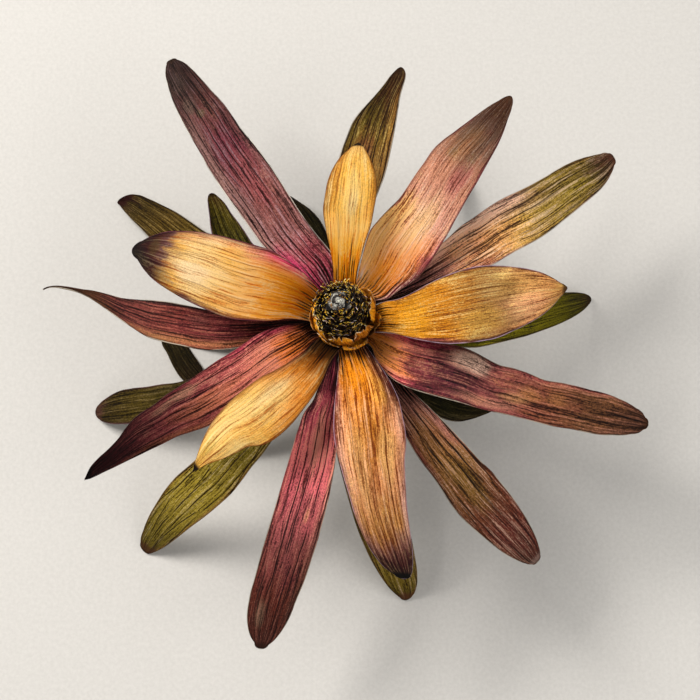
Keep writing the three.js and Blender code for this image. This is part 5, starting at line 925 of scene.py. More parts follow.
        base=[(0.0, "bark"), (0.10, "plum"), (0.20, "mauve"), (0.34, "#c08a7c"), (0.48, "tan"), (0.62, "straw"), (0.78, "yellowolive"), (0.92, "drab"), (1.0, "cocoa")],
        left=[("#f6d4b4", 0.42, 0.30, 0.66, 0.95), ("brown", 0.08, 0.8, 1.0, 0.5)], right=[("#7a4a34", 0.46, 0.25, 0.52, 0.8), ("mauve", 0.06, 0.3, 1.0, 0.7)],
        blobs=[(0.58, 0.74, 0.26, 0.14, "yellowolive", 0.7), (0.58, 0.84, 0.2, 0.08, "lime", 0.5), (0.34, 0.42, 0.3, 0.12, "tan", 0.5), (0.3, 0.7, 0.2, 0.15, "drab", 0.5)],
        mottle=[("straw", 0.54, 0.67, 0.5), ("drab", 0.46, 0.36, 0.5)], veins=("#24120c", 2.5, 0.90, 0.80), striae=0.8, broad=0.26, grain=0.74,
        foot=("ink", 0.95, 0.22), tip=("cocoa", 0.985, 0.8), rim=("pale", 0.8, 0.016), vein_w=0.13),
    "bract_12": dict(cast_and_shade=(0.54, 0.34, 0.27), gain=[(0.1, 0.7), (0.3, 2.2), (0.45, 1.6), (0.6, 1.0), (0.75, 0.6), (0.9, 0.4)],
        base=[(0.0, "ink"), (0.10, "wine"), (0.22, "wine"), (0.38, "#8a4c58"), (0.54, "#8a4a48"), (0.68, "dustrose"), (0.80, "#8a6238"), (0.92, "#7a5a34"), (1.0, "brown")],
        left=[("mauve", 0.14, 0.2, 0.8, 0.6), ("wine", 0.3, 0.1, 0.45, 0.6)], right=[("sand", 0.32, 0.28, 0.62, 0.85), ("rose", 0.2, 0.2, 0.5, 0.5)],
        blobs=[(0.3, 0.44, 0.2, 0.05, "mauve", 0.6), (0.5, 0.3, 0.3, 0.1, "wine", 0.6)],
        mottle=[("blush", 0.55, 0.67, 0.4), ("wine", 0.46, 0.35, 0.6)], veins=("#1a080c", 2.1, 0.9, 1.0), striae=0.7, broad=0.48, grain=0.74,
        foot=("ink", 0.97, 0.2), tip=("mauve", 0.99, 0.4), rim=("pale", 0.85, 0.024), glint="blush"),
    "bract_13": dict(cast_and_shade=(0.6, 0.42, 0.44), gain=[(0.15, 0.4), (0.3, 0.45), (0.42, 0.95), (0.54, 1.2), (0.68, 1.15), (0.85, 1.0), (1.0, 0.6)],
        base=[(0.0, "ink"), (0.10, "wine"), (0.20, "mauve"), (0.32, "pinktan"), (0.46, "tan"), (0.60, "#8f7434"), (0.74, "brown"), (0.88, "redbrown"), (1.0, "cocoa")],
        left=[("berry", 0.12, 0.10, 0.6, 0.6), ("brown", 0.16, 0.5, 1.0, 0.5)], right=[("blush", 0.30, 0.25, 0.5, 0.9), ("redbrown", 0.14, 0.5, 1.0, 0.6)],
        blobs=[(0.42, 0.50, 0.26, 0.14, "straw", 0.5), (0.50, 0.66, 0.25, 0.12, "#8a7a2c", 0.55), (0.6, 0.30, 0.16, 0.1, "blush", 0.6)],
        mottle=[("tan", 0.54, 0.67, 0.45), ("redbrown", 0.46, 0.35, 0.6)], veins=("ink", 2.3, 0.95, 0.80), striae=0.8, broad=0.32, grain=0.78,
        foot=("ink", 0.97, 0.26), tip=("pale", 0.985, 0.5), rim=("pale", 0.75, 0.018), vein_w=0.15),
    "bract_14": dict(cast_and_shade=(0.416, 0.336, 0.154), gain=[(0.3, 0.8), (0.6, 1.1), (0.7, 1.9), (0.84, 0.8), (1.0, 0.5)],
        base=[(0.0, "ink"), (0.2, "drab"), (0.4, "olive"), (0.55, "tan"), (0.7, "drab"), (0.85, "brown"), (1.0, "cocoa")],
        left=[("drab", 0.25, 0.4, 0.9, 0.6)], right=[("tan", 0.3, 0.4, 0.9, 0.5)],
        blobs=[(0.45, 0.6, 0.2, 0.12, "dustrose", 0.5), (0.4, 0.8, 0.3, 0.08, "moss", 0.5)],
        mottle=[("tan", 0.54, 0.67, 0.45), ("umber", 0.46, 0.36, 0.55)], veins=("#2a100e", 1.9, 0.95, 1.0), striae=0.65, broad=0.40, grain=0.74,
        foot=("ink", 0.95, 0.2), tip=("cocoa", 0.99, 0.5), rim=("pale", 0.6, 0.022), vein_w=0.12),
    "leaf_01": dict(cast_and_shade=(0.58, 0.515, 0.42), gain=[(0.4, 1.6), (0.6, 1.6), (0.75, 1.3), (0.85, 0.85), (1.0, 0.6)],
        base=[(0.0, "bark"), (0.3, "moss"), (0.5, "olive"), (0.66, "yellowolive"), (0.84, "yellowolive"), (0.95, "olive"), (1.0, "cocoa")],
        left=[("brown", 0.12, 0.5, 1.0, 0.55)], right=[("tan", 0.12, 0.5, 1.0, 0.55)],
        mottle=[("straw", 0.54, 0.68, 0.4), ("moss", 0.46, 0.36, 0.6)], veins=("#2a1c08", 2.7, 0.95, 1.1), striae=0.5, broad=0.36, grain=0.64,
        tip=("cocoa", 0.975, 0.8), rim=("greytan", 0.6, 0.016), under="olive", forks=1.0, vein_w=0.09, spec=0.07),
    "leaf_02": dict(cast_and_shade=(0.294, 0.28, 0.028), gain=[(0.5, 1.5), (0.7, 1.4), (0.85, 0.75), (1.0, 0.55)],
        base=[(0.0, "bark"), (0.3, "moss"), (0.6, "lime"), (0.85, "lime"), (0.94, "olive"), (0.98, "brown"), (1.0, "cocoa")],
        left=[("cocoa", 0.15, 0.75, 1.0, 0.7)], right=[("drab", 0.14, 0.5, 1.0, 0.6)],
        mottle=[("#b5aa2e", 0.54, 0.66, 0.5), ("moss", 0.46, 0.36, 0.7)], veins=("#22200a", 1.8, 0.75, 1.1), striae=0.65, broad=0.40, grain=0.79,
        tip=("cocoa", 0.975, 0.8), rim=("greytan", 0.6, 0.016), under="moss", spec=0.07),
    "leaf_03": dict(cast_and_shade=(0.285, 0.255, 0.096), gain=[(0.0, 1.0), (1.0, 1.0)],
        base=[(0.0, "bark"), (0.4, "moss"), (0.7, "moss"), (0.9, "olive"), (1.0, "cocoa")],
        left=[("mauve", 0.08, 0.5, 1.0, 0.6)], right=[("mauve", 0.10, 0.5, 1.0, 0.6), ("olive", 0.3, 0.5, 1.0, 0.4)],
        mottle=[("greytan", 0.56, 0.70, 0.3), ("deepolive", 0.46, 0.36, 0.6)], veins=("#1c1808", 1.8, 0.7, 1.1), striae=0.6, broad=0.40, grain=0.74,
        rim=("lilac", 0.6, 0.022), under="moss", spec=0.07),
    "leaf_04": dict(cast_and_shade=(0.53, 0.43, 0.35), gain=[(0.0, 1.0), (1.0, 1.0)],
        base=[(0.0, "bark"), (0.4, "moss"), (0.7, "olive"), (0.86, "yellowolive"), (0.95, "olive"), (0.985, "brown"), (1.0, "cocoa")],
        left=[("cocoa", 0.1, 0.7, 1.0, 0.5)], right=[("greytan", 0.12, 0.7, 1.0, 0.5)],
        mottle=[("straw", 0.55, 0.68, 0.35), ("moss", 0.46, 0.36, 0.5)], veins=("#2a2008", 2.0, 0.6, 1.1), striae=0.55, broad=0.32, grain=0.64,
        tip=("cocoa", 0.97, 0.8), rim=("greytan", 0.6, 0.016), under="olive", spec=0.07),
    "leaf_06": dict(cast_and_shade=(0.24, 0.192, 0.115), gain=[(0.0, 1.0), (1.0, 1.0)],
        base=[(0.0, "bark"), (0.4, "deepolive"), (0.6, "moss"), (0.8, "olive"), (0.95, "drab"), (1.0, "mauve")],
        left=[("mauve", 0.12, 0.7, 1.0, 0.5)], right=[("mauve", 0.10, 0.7, 1.0, 0.5)],
        mottle=[("greytan", 0.55, 0.69, 0.45), ("deepolive", 0.46, 0.36, 0.6)], veins=("#1e1a0a", 1.8, 0.7, 1.1), striae=0.6, broad=0.40, grain=0.74,
        tip=("mauve", 0.97, 0.6), rim=("mauve", 0.6, 0.022), under="drab", spec=0.07),
    "leaf_11": dict(cast_and_shade=(0.238, 0.182, 0.084), gain=[(0.0, 1.0), (0.75, 1.3), (1.0, 0.85)],
        base=[(0.0, "bark"), (0.4, "deepolive"), (0.62, "olive"), (0.8, "#94803c"), (0.92, "drab"), (1.0, "wine")],
        left=[("wine", 0.10, 0.75, 1.0, 0.6), ("olive", 0.2, 0.5, 0.9, 0.4)], right=[("wine", 0.08, 0.6, 1.0, 0.6)],
        mottle=[("greytan", 0.55, 0.68, 0.45), ("drab", 0.46, 0.36, 0.6)], veins=("#24180c", 1.7, 0.75, 1.1), striae=0.65, broad=0.40, grain=0.74,
        tip=("wine", 0.965, 0.8), rim=("pale", 0.7, 0.020), under="drab", spec=0.07),
}
# painted shade: the lower leaves under the bracts get a very dark cast, standing in for the deep shade they lie in
LOOK_LEAF = dict(cast_and_shade=(0.10, 0.085, 0.05), spec=0.06,
    base=[(0.0, "bark"), (0.35, "deepolive"), (0.65, "moss"), (0.85, "drab"), (1.0, "umber")],
    left=[("brown", 0.12, 0.6, 1.0, 0.5)], right=[("brown", 0.12, 0.6, 1.0, 0.5)],
    mottle=[("olive", 0.55, 0.69, 0.5), ("deepolive", 0.46, 0.36, 0.6)], veins=("#1c1808", 1.9, 0.7, 1.1), striae=0.6, broad=0.40, grain=0.74,
    tip=("umber", 0.975, 0.8), rim=("greytan", 0.5, 0.022), under="moss")

BLADES = {}
for i, node in enumerate(sorted(ROWS)):
    ob, wmax, length = blade(node, 101 + i * 17)
    look = LOOKS.get(node, LOOK_LEAF)
    ob.data.materials.append(blade_material(node, look, i + 1))
    BLADES[node] = ob


# -------------------------------------------------------------------- cone --
AXIS = np.array([STEM_AXIS[0], STEM_AXIS[1], 0.0])
LEAN = (-0.065, -0.100)         # the cone leans: x and y for each mm above its foot
LEAN_FROM = 47.0


def leaned(points):
    P = np.array(points, float)
    up = np.maximum(P[..., 2] - LEAN_FROM, 0.0)
    P[..., 0] += LEAN[0] * up
    P[..., 1] += LEAN[1] * up
    return P


def tube(path, radii, sides, flat=1.0, side_dir=None, closed_ends=True):
    """Vertices and faces of a swept closed body along path points."""
    path = np.asarray(path, float)
    n = len(path)
    t = np.gradient(path, axis=0)
    t /= np.maximum(np.linalg.norm(t, axis=1, keepdims=True), 1e-9)
    ref = np.array([0.0, 0.0, 1.0]) if side_dir is None else np.asarray(side_dir, float)
    if abs(np.dot(t[0], ref)) > 0.95:
        ref = np.array([1.0, 0.0, 0.0])
    verts = []
    a = np.cross(t[0], ref); a /= np.linalg.norm(a)
    for i in range(n):
        a = a - t[i] * np.dot(a, t[i]); a /= np.linalg.norm(a)
        b = np.cross(t[i], a)
        for k in range(sides):
            w = 2 * math.pi * k / sides
            verts.append(path[i] + radii[i] * (a * math.cos(w) + b * math.sin(w) * flat))
    faces = []
    for i in range(n - 1):
        for k in range(sides):
            k2 = (k + 1) % sides
            faces.append((i * sides + k, i * sides + k2, (i + 1) * sides + k2, (i + 1) * sides + k))
    faces.append(tuple(range(sides))[::-1])
    faces.append(tuple((n - 1) * sides + k for k in range(sides)))
    return verts, faces


class Batch:
    """Many closed bodies gathered in one mesh, with a hue and a place along each."""

    def __init__(self):
        self.verts, self.faces, self.tone = [], [], []

    def add(self, verts, faces, tones):
        b = len(self.verts)
        self.verts.extend(verts)
        self.faces.extend(tuple(i + b for i in f) for f in faces)
        self.tone.extend(tones)

    def make(self, name):
        return new_mesh(name, leaned(self.verts), self.faces, attrs={"tone": np.array(self.tone)})


# the receptacle's outline above the foot of the florets: radius, height
DOME = np.array([[6.35, 46.4], [6.2, 50], [5.9, 55], [5.0, 60], [3.7, 64], [2.0, 67], [0.9, 68], [0.0, 68.3]])


def dome_point(z):
    return float(np.interp(z, DOME[:, 1], DOME[:, 0]))


def ring_dirs(a):
    return np.array([math.cos(a), math.sin(a), 0.0]), np.array([-math.sin(a), math.cos(a), 0.0])


UP = np.array([0.0, 0.0, 1.0])
FULL_SIDE = -0.73               # the direction in which the papery scales are longest


def fullness(turn):
    return 0.5 + 0.5 * math.cos(turn - FULL_SIDE)


def florets(row, n, z0, z1, tip_r, tip_z, seed):
    """One row of florets: thin dark hooked styles, with narrow straw-coloured
    straps that curl between them."""
    rng = random.Random(seed)
    B = Batch()
    for i in range(n):
        f = (i + 0.5) / n
        z = z0 + (z1 - z0) * ((i * 0.618034) % 1.0)
        ang = f * 2 * math.pi + rng.uniform(-0.10, 0.10)
        hue = rng.random()
        r = dome_point(z) + 0.12
        # style
        er, et = ring_dirs(ang)
        bare = 1.0 - fullness(ang)          # where no scale covers them the styles stick out
        rt = tip_r * rng.uniform(0.84, 1.0) + bare * (1.5, 0.9, 0.3, 0.0, 0.0)[row] * rng.uniform(0.3, 1.4)
        zt = tip_z + (z - 0.5 * (z0 + z1)) * 0.7 + rng.uniform(-0.5, 0.5)
        hook = rng.choice((-1, 1)) * rng.uniform(0.6, 2.3) * (1 - 0.5 * bare)
        inward = rng.uniform(0.1, 1.1) * (1 - 0.7 * bare)
        pts = []
        for s in np.linspace(0, 1, 10):
            q = max(0.0, (s - 0.5) / 0.5)
            rr = r + (rt - r) * s**0.75 - inward * q**2
            zz = z + (zt - z) * (1 - (1 - s) ** 1.5) - 0.5 * q**3
            pts.append(AXIS + er * rr + UP * zz + et * hook * q**1.7)
        w = rng.uniform(0.085, 0.13)
        v, fc = tube(pts, np.interp(np.linspace(0, 1, 10), [0, 0.5, 0.85, 1], [1.3, 1.0, 1.05, 0.55]) * w, 5)
        B.add(v, fc, [(hue, k // 5 / 9.0, 0.0) for k in range(len(v))])
        # straps
        for q in range(1 if rng.random() < (0.85 - 0.55 * bare) else 0):
            a2 = ang + rng.uniform(-0.16, 0.16)
            er2, et2 = ring_dirs(a2)
            p = AXIS + er2 * (r + 0.1) + UP * z
            aim = er2 * (rt - r) + UP * (zt - z) * 1.05
            L = np.linalg.norm(aim) * rng.uniform(0.75, 1.02)
            d = aim / np.linalg.norm(aim)
            n_s = 13
            step = L / (n_s - 4)
            turn_in = rng.uniform(0.1, 0.6) * rng.choice((-1, 1, 1))
            turn_side = rng.choice((-1, 1)) * rng.uniform(0.35, 1.0)
            pts = []
            for k in range(n_s):
                pts.append(p.copy())
                g = max(0.0, (k - 5) / 6.0)
                d = d - er2 * turn_in * g * 0.62 + et2 * turn_side * g * 0.6 - UP * 0.10 * g
                d /= np.linalg.norm(d)
                p = p + d * step * (1.0 if k < 7 else 0.55)
            w = rng.uniform(0.10, 0.18)
            prof = np.interp(np.linspace(0, 1, n_s), [0, 0.3, 0.7, 0.93, 1], [0.4, 0.7, 1.0, 0.8, 0.3]) * w
            v, fc = tube(pts, prof, 6, flat=0.35, side_dir=er2)
            h2 = rng.random()
            B.add(v, fc, [(h2, k // 6 / (n_s - 1.0), 1.0) for k in range(len(v))])
    return B


def floret_material():
    N = Nodes("floret_skin")
    hue, s, kind = N.split(N.attr("tone"))
    pos = N.node("ShaderNodeTexCoord").outputs["Object"]
    n = N.noise(pos, 900.0, 3.0, 0.6)
    n2 = N.noise(pos, 3200.0, 2.0, 0.6)
    sn = N.add(s, N.mul(N.sub(n, 0.5), 0.5))
    style = N.ramp(sn, [(0.0, "#050403"), (0.85, "#080604"), (1.0, "#2a1c0c")])
    style = N.mix(N.ramp01(hue, 0.50, 0.54), style, N.ramp(sn, [(0.0, "#050403"), (0.82, "#0a0704"), (0.90, "#b98a12"), (1.0, "#f2cf3c")]))
    strap = N.ramp(sn, [(0.0, "#050403"), (0.46, "#0a0704"), (0.54, "#7a5010"), (0.62, "#f0b01c"), (0.82, "#ffd44a"), (1.0, "#fff0b8")])
    strap = N.mix(N.ramp01(hue, 0.34, 0.26), strap, N.ramp(sn, [(0.0, "#050403"), (0.6, "#0f0a07"), (0.85, "#3a2c22"), (1.0, "ochre")]))
    strap = N.mix(N.mul(N.ramp01(hue, 0.84, 0.9), 0.9), strap, N.ramp(sn, [(0.0, "#0a0704"), (0.5, "umber"), (0.72, "lilac"), (1.0, "chalk")]))
    col = N.mix(kind, style, strap)
    col = N.mix(N.mul(N.ramp01(n2, 0.48, 0.32), 0.3), col, N.mix(1.0, col, "#3c2e26", "MULTIPLY"))
    return N.finish(col, N.add(0.42, N.mul(n2, 0.3)), n2, bump=0.00005, spec=0.4)


FLORET_SPEC = [   # how many, foot height from, to, radius and height of the tips
    (88, 50.2, 53.2, 7.75, 56.4), (88, 53.2, 56.8, 7.45, 60.4), (78, 56.8, 60.2, 6.45, 64.2),
    (66, 60.2, 63.6, 5.0, 67.3), (56, 63.6, 66.6, 3.5, 69.4)
]
FLORETS = floret_material()
for row, (n, z0, z1, tr, tz) in enumerate(FLORET_SPEC):
    ob = florets(row, n, z0, z1, tr, tz, 700 + row).make("floret_row_%d_florets" % (row + 1))
    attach(ob, "root")
    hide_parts("floret_row_%d" % (row + 1))
    ob.data.materials.append(FLORETS)


# Papery scales round the cone's foot, two rings of seven.  Even numbers stand
# in the inner ring, odd ones open outwards below them.
def scale_points(i):
    rng = random.Random(900 + i)
    inner = i % 2 == 0
    turn = 0.13 + i * 2 * math.pi / 14
    nu, nv = 30, 26
    full = fullness(turn)
    if inner:       # swells outwards, then closes in on the florets
        prof = [[6.95, 47.8], [8.05 + 0.1 * full, 48.5], [8.55 + 0.6 * full, 50.0 + 0.2 * full],
                [8.35 + 0.6 * full, 51.7 + 1.3 * full], [7.8 + 0.35 * full, 52.6 + 2.7 * full]]
        width = 7.9
    else:
        prof = [[6.95, 47.2], [8.1, 47.5], [8.95 + 0.5 * full, 48.6], [9.25 + 0.85 * full, 49.6 + 0.3 * full],
                [9.15 + 1.1 * full, 50.4 + 0.8 * full]]
        width = 7.9
    prof = np.array(prof)
    prof[:, 1] += rng.uniform(-0.25, 0.25) * np.linspace(0, 1, 5)
    s = np.linspace(0, 1, len(prof))
    vv = np.linspace(0, 1, nv + 1)
    rz = hermite(s, prof, vv)
    share = np.interp(vv, [0, 0.25, 0.6, 0.85, 1], [0.85, 1.0, 1.0, 0.88, 0.62])
    uu = np.linspace(0, 1, nu + 1)
    torn = np.sort(np.r_[0.0, 1.0, [rng.uniform(0.05, 0.95) for _ in range(7)]])
    teeth = np.interp(uu, torn, [rng.uniform(-1.2, 1.0) for _ in torn]) + 0.14 * np.array([rng.uniform(-1, 1) for _ in uu])
    peak = rng.uniform(0.3, 0.7)
    crest = 1 - np.abs(uu - peak) * 1.5
    lean_side = rng.uniform(-0.8, 0.8)
    curl = rng.uniform(-0.3, 0.5)
    fold = wave_noise(rng, uu, 4, 0.8, 2.6)
    lumps = np.array([[rng.uniform(-1, 1) for _ in range(8)] for _ in range(6)])      # sharp crumples
    wob = wave_noise(rng, vv, 3, 0.8, 2.5)
    P = np.zeros((nv + 1, nu + 1, 3))
    # the torn edge: each strip of the sheet is cut off at its own length
    cut = 1.0 + (0.19 * teeth + 0.16 * (crest - 0.8)) * (0.45 + 0.55 * full)
    long_v = np.linspace(0, 1.35, 136)
    ends_ = prof[-1] - prof[-2]
    long_rz = np.array([hermite(s, prof, np.array([q]))[0] if q <= 1 else prof[-1] + ends_ * (q - 1) * 4 * 0.8 for q in long_v])
    for a, v in enumerate(vv):
        late = float(smooth((v - 0.6) / 0.4))
        for b, u in enumerate(uu):
            side = (u - 0.5) * width * share[a]
            q = v * (1 + (cut[b] - 1) * float(smooth(v / 0.9)))
            here = np.interp(q, long_v, long_rz[:, 0]), np.interp(q, long_v, long_rz[:, 1])
            r = here[0] - 0.12 * (2 * u - 1) ** 2 * float(smooth(v / 0.5)) + 0.20 * wob[a] * v
            r += 0.30 * (2 * u - 1) * float(smooth(v / 0.3))        # one margin laps over the next scale
            r += 0.26 * fold[b] * float(smooth(v / 0.4)) * full
            ja, jb = v * 4.999, u * 6.999
            ia, ib = int(ja), int(jb)
            fa, fb = ja - ia, jb - ib
            lump = ((lumps[ia, ib] * (1 - fb) + lumps[ia, ib + 1] * fb) * (1 - fa)
                    + (lumps[ia + 1, ib] * (1 - fb) + lumps[ia + 1, ib + 1] * fb) * fa)
            r += 0.42 * lump * float(smooth(v / 0.45)) * (0.35 + 0.65 * full)
            r += (curl * 0.6 * late**2 if not inner else 0.12 * curl * late)
            z = here[1] + 0.18 * teeth[b] * late
            if i == 11:                     # this one is rolled outwards into a quill
                th = late * 4.2
                r += 0.75 * math.sin(th) * late + 0.5 * late
                z += -0.75 * (1 - math.cos(th)) * late
            ang = turn + side / max(here[0], 6.9) + lean_side * 0.05 * v
            P[a, b] = AXIS + np.array([r * math.cos(ang), r * math.sin(ang), z])
    return P


def sheet_body(P, thick):
    """Closed thin body from a grid; the second face is offset along the normal."""
    nv, nu = P.shape[0], P.shape[1]
    n = np.cross(np.gradient(P, axis=1), np.gradient(P, axis=0))
    n /= np.maximum(np.linalg.norm(n, axis=2, keepdims=True), 1e-9)
    Q = P - n * thick
    verts = np.concatenate([P.reshape(-1, 3), Q.reshape(-1, 3)])
    T = lambda i, j: i * nu + j
    B = lambda i, j: nv * nu + i * nu + j
    F = []
    for i in range(nv - 1):
        for j in range(nu - 1):
            F.append((T(i, j), T(i, j + 1), T(i + 1, j + 1), T(i + 1, j)))
            F.append((B(i, j), B(i + 1, j), B(i + 1, j + 1), B(i, j + 1)))
    for i in range(nv - 1):
        F.append((T(i, 0), T(i + 1, 0), B(i + 1, 0), B(i, 0)))
        F.append((T(i, nu - 1), B(i, nu - 1), B(i + 1, nu - 1), T(i + 1, nu - 1)))
    for j in range(nu - 1):
        F.append((T(0, j), B(0, j), B(0, j + 1), T(0, j + 1)))
        F.append((T(nv - 1, j), T(nv - 1, j + 1), B(nv - 1, j + 1), B(nv - 1, j)))
    return verts, F


def scale_material():
    N = Nodes("cone_scale_skin")
    u, v, k = N.split(N.attr("tone"))
    pos = N.node("ShaderNodeTexCoord").outputs["Object"]
    n = N.noise(pos, 520.0, 4.0, 0.65)
    big = N.noise(pos, 190.0, 3.0, 0.6)
    st = N.noise(N.vec(N.mul(u, 19.0), N.mul(v, 3.4), N.mul(k, 9.0)), 1.0, 3.0, 0.7)
    t = N.add(v, N.add(N.mul(N.sub(st, 0.5), 0.35), N.mul(N.sub(big, 0.5), 0.5)))
    # amber, dark at the foot of each scale: partly its colour, partly painted shade where the scales sit close against
    # the stem
    col = N.ramp(t, [(0.0, "#4a2a08"), (0.18, "#8a4e08"), (0.34, "#b87008"), (0.58, "#d8880a"), (0.92, "#f0a820")])
    brown = N.ramp(t, [(0.0, "bark"), (0.4, "#6a3c10"), (0.7, "#9a5808"), (0.95, "#c47c10")])
    pick = N.math("FRACT", N.mul(k, 0.618))
    col = N.mix(N.ramp01(pick, 0.60, 0.72), col, brown)
    rim = N.ramp01(N.add(v, N.mul(N.sub(n, 0.5), 0.06)), 0.955, 0.985)
    edge = N.ramp01(N.add(N.math("ABSOLUTE", N.sub(N.mul(u, 2.0), 1.0)), N.mul(N.sub(n, 0.5), 0.10)), 0.955, 0.99)
    rim = N.math("MAXIMUM", rim, N.mul(edge, N.ramp01(v, 0.5, 0.75)))
    part = N.ramp01(N.noise(N.vec(N.mul(u, 3.2), N.mul(v, 2.0), N.mul(k, 5.0)), 1.0, 1.0), 0.47, 0.60)
    col = N.mix(N.mul(rim, N.add(N.mul(part, 0.85), 0.25)), col, "#f4e2c0")
    col = N.mix(N.mul(N.ramp01(st, 0.50, 0.38), 0.75), col, N.mix(1.0, col, "#6a4420", "MULTIPLY"))
    col = N.mix(N.mul(N.ramp01(big, 0.46, 0.36), 0.8), col, "#4a2a10")
    # painted highlights: bright honey streaks across the papery faces
    col = N.mix(N.mul(N.ramp01(st, 0.56, 0.68), 0.55), col, "#f2b640")
    col = N.mix(N.mul(N.ramp01(n, 0.48, 0.36), 0.35), col, "bark")
    return N.finish(col, N.add(0.42, N.mul(n, 0.3)), st, bump=0.00018, spec=0.22)


SCALES = scale_material()
for i in range(14):
    P = scale_points(i)
    verts, F = sheet_body(P, 0.14)
    nv, nu = P.shape[0], P.shape[1]
    tone = [(b / (nu - 1), a / (nv - 1), i + 0.5) for a in range(nv) for b in range(nu)] * 2
    ob = new_mesh("cone_scale_%02d_paper" % (i + 1), leaned(verts), F, attrs={"tone": np.array(tone)})
    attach(ob, "root")
    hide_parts("cone_scale_%02d" % (i + 1))
    ob.data.materials.append(SCALES)


# Woolly tuft at the apex: a matted knot with loose strands laid over it
def tuft():
    rng = random.Random(77)
    B = Batch()
    rows_, cols = 26, 44
    mid = AXIS + np.array([-0.05, -0.45, 69.2])

    def knot(th, ph):
        k = 1 + 0.16 * math.sin(3 * ph + 2.3 * th) + 0.12 * math.sin(5 * ph - 3 * th + 1) + 0.09 * math.sin(8 * ph + 5 * th + 2) \
            + 0.06 * math.sin(13 * ph - 9 * th)
        return mid + np.array([2.55 * math.sin(th) * math.cos(ph) * k, 2.55 * math.sin(th) * math.sin(ph) * k,
                               1.75 * math.cos(th) * (0.75 + 0.25 * k)])

    grid = [[knot(math.pi * (a + 0.35) / (rows_ + 0.7), 2 * math.pi * b / cols) for b in range(cols)] for a in range(rows_ + 1)]
    verts = [p for line in grid for p in line]
    faces = [(a * cols + b, (a + 1) * cols + b, (a + 1) * cols + (b + 1) % cols, a * cols + (b + 1) % cols)
             for a in range(rows_) for b in range(cols)]
    faces.append(tuple(b for b in range(cols)))
    faces.append(tuple(rows_ * cols + b for b in range(cols))[::-1])
    B.add(verts, faces, [(0.5, a / rows_, 0.0) for a in range(rows_ + 1) for b in range(cols)])
    for i in range(330):
        # strands that follow the knot's face in short arcs
        th, ph = rng.uniform(0.15, 1.75), rng.uniform(0, 6.283)
        if i % 4:                   # most are wound round the knot
            dth, dph = rng.uniform(-0.25, 0.05), rng.uniform(0.7, 1.9)
        else:
            dth, dph = rng.uniform(-0.7, 0.7), rng.uniform(-1.3, 1.3)
        lift = rng.uniform(0.02, 0.25)
        pts = []
        for s in np.linspace(0, 1, 8):
            p = knot(th + dth * s, ph + dph * s * (1 + 0.3 * s))
            out = (p - mid); out /= max(np.linalg.norm(out), 1e-6)
            p = p + out * (0.05 + lift * math.sin(math.pi * s) + (0.35 * s * s if i % 5 == 0 else 0))
            p[2] = min(p[2], 71.7)
            pts.append(p)
        v, fc = tube(pts, np.interp(np.linspace(0, 1, 8), [0, 0.5, 1], [0.06, 0.11, 0.04]), 4)
        tone = rng.random()
        B.add(v, fc, [(tone, math.sin(th), 1.0)] * len(v))
    for i in range(34):          # dry yellow crumbs caught at the edge of the wool
        a = rng.uniform(0, 6.283); r = rng.uniform(1.5, 3.3)
        c = mid + np.array([r * math.cos(a), r * math.sin(a), 1.75 - 0.16 * r * r + rng.uniform(-0.1, 0.25)])
        d = np.array([rng.uniform(-1, 1), rng.uniform(-1, 1), rng.uniform(-0.4, 0.4)]); d /= np.linalg.norm(d)
        e = np.cross(d, UP)
        bow = rng.uniform(-0.3, 0.3)
        pts = [c + d * s + e * bow * (1 - (s / 0.45) ** 2) for s in np.linspace(-0.45, 0.45, 6)]
        v, fc = tube(pts, [0.04, 0.10, 0.12, 0.12, 0.10, 0.04], 5)
        B.add(v, fc, [(rng.random(), 0.5, 2.0)] * len(v))
    return B.make("apex_tuft_wool")


def tuft_material():
    N = Nodes("apex_tuft_skin")
    hue, s, kind = N.split(N.attr("tone"))
    pos = N.node("ShaderNodeTexCoord").outputs["Object"]
    n = N.noise(pos, 1100.0, 4.0, 0.7)
    big = N.noise(pos, 430.0, 3.0, 0.6)
    t = N.add(N.mul(N.sub(big, 0.5), 1.6), N.add(N.mul(N.sub(n, 0.5), 1.05), 1.08))
    t = N.sub(t, N.mul(s, 0.80))
    t = N.add(t, N.mul(N.sub(hue, 0.5), 0.6))
    x, y, z = N.split(pos)          # a dark band winds outwards round the knot: painted shade of a furrow in the wool
    x, y = N.mul(N.sub(x, -0.00026), 1000.0), N.mul(N.sub(y, 0.00433), 1000.0)
    away = N.math("SQRT", N.add(N.mul(x, x), N.mul(y, y)))
    turn = N.math("SINE", N.add(N.add(N.math("ARCTAN2", y, x), N.mul(away, 2.9)), N.mul(big, 3.0)))
    t = N.sub(t, N.mul(N.mul(N.ramp01(turn, 0.1, 0.95), N.ramp01(away, 0.4, 0.9)), 0.56))
    wool = N.ramp(t, [(0.0, "#0f0d0b"), (0.28, "#3f3a36"), (0.56, "#8e8983"), (0.80, "#c6c4b6"), (1.0, "#eceadc")])
    crumb = N.ramp(N.add(N.mul(hue, 0.6), N.mul(n, 0.4)), [(0.2, "umber"), (0.45, "ochre"), (0.7, "#e0b82a")])
    col = N.mix(N.ramp01(kind, 1.4, 1.6), wool, crumb)
    return N.finish(col, N.add(0.62, N.mul(n, 0.25)), n, bump=0.00006, spec=0.25)


ob = tuft()
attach(ob, "root")
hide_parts("apex_tuft")
ob.data.materials.append(tuft_material())


# -------------------------------------------------------------------- stem --
# bark with shallow furrows, leaf cushions where the blades sit, and a clean
# cut below that shows the pith and the growth rings
STEM_LINE = [[3.1, 0.0], [3.35, 0.4], [3.3, 7], [3.45, 15], [3.4, 23], [3.7, 30], [4.4, 36], [5.2, 40],
             [6.0, 44], [6.35, 46.4], [6.2, 50], [5.9, 55], [5.0, 60], [3.7, 64], [2.0, 67], [0.9, 68]]


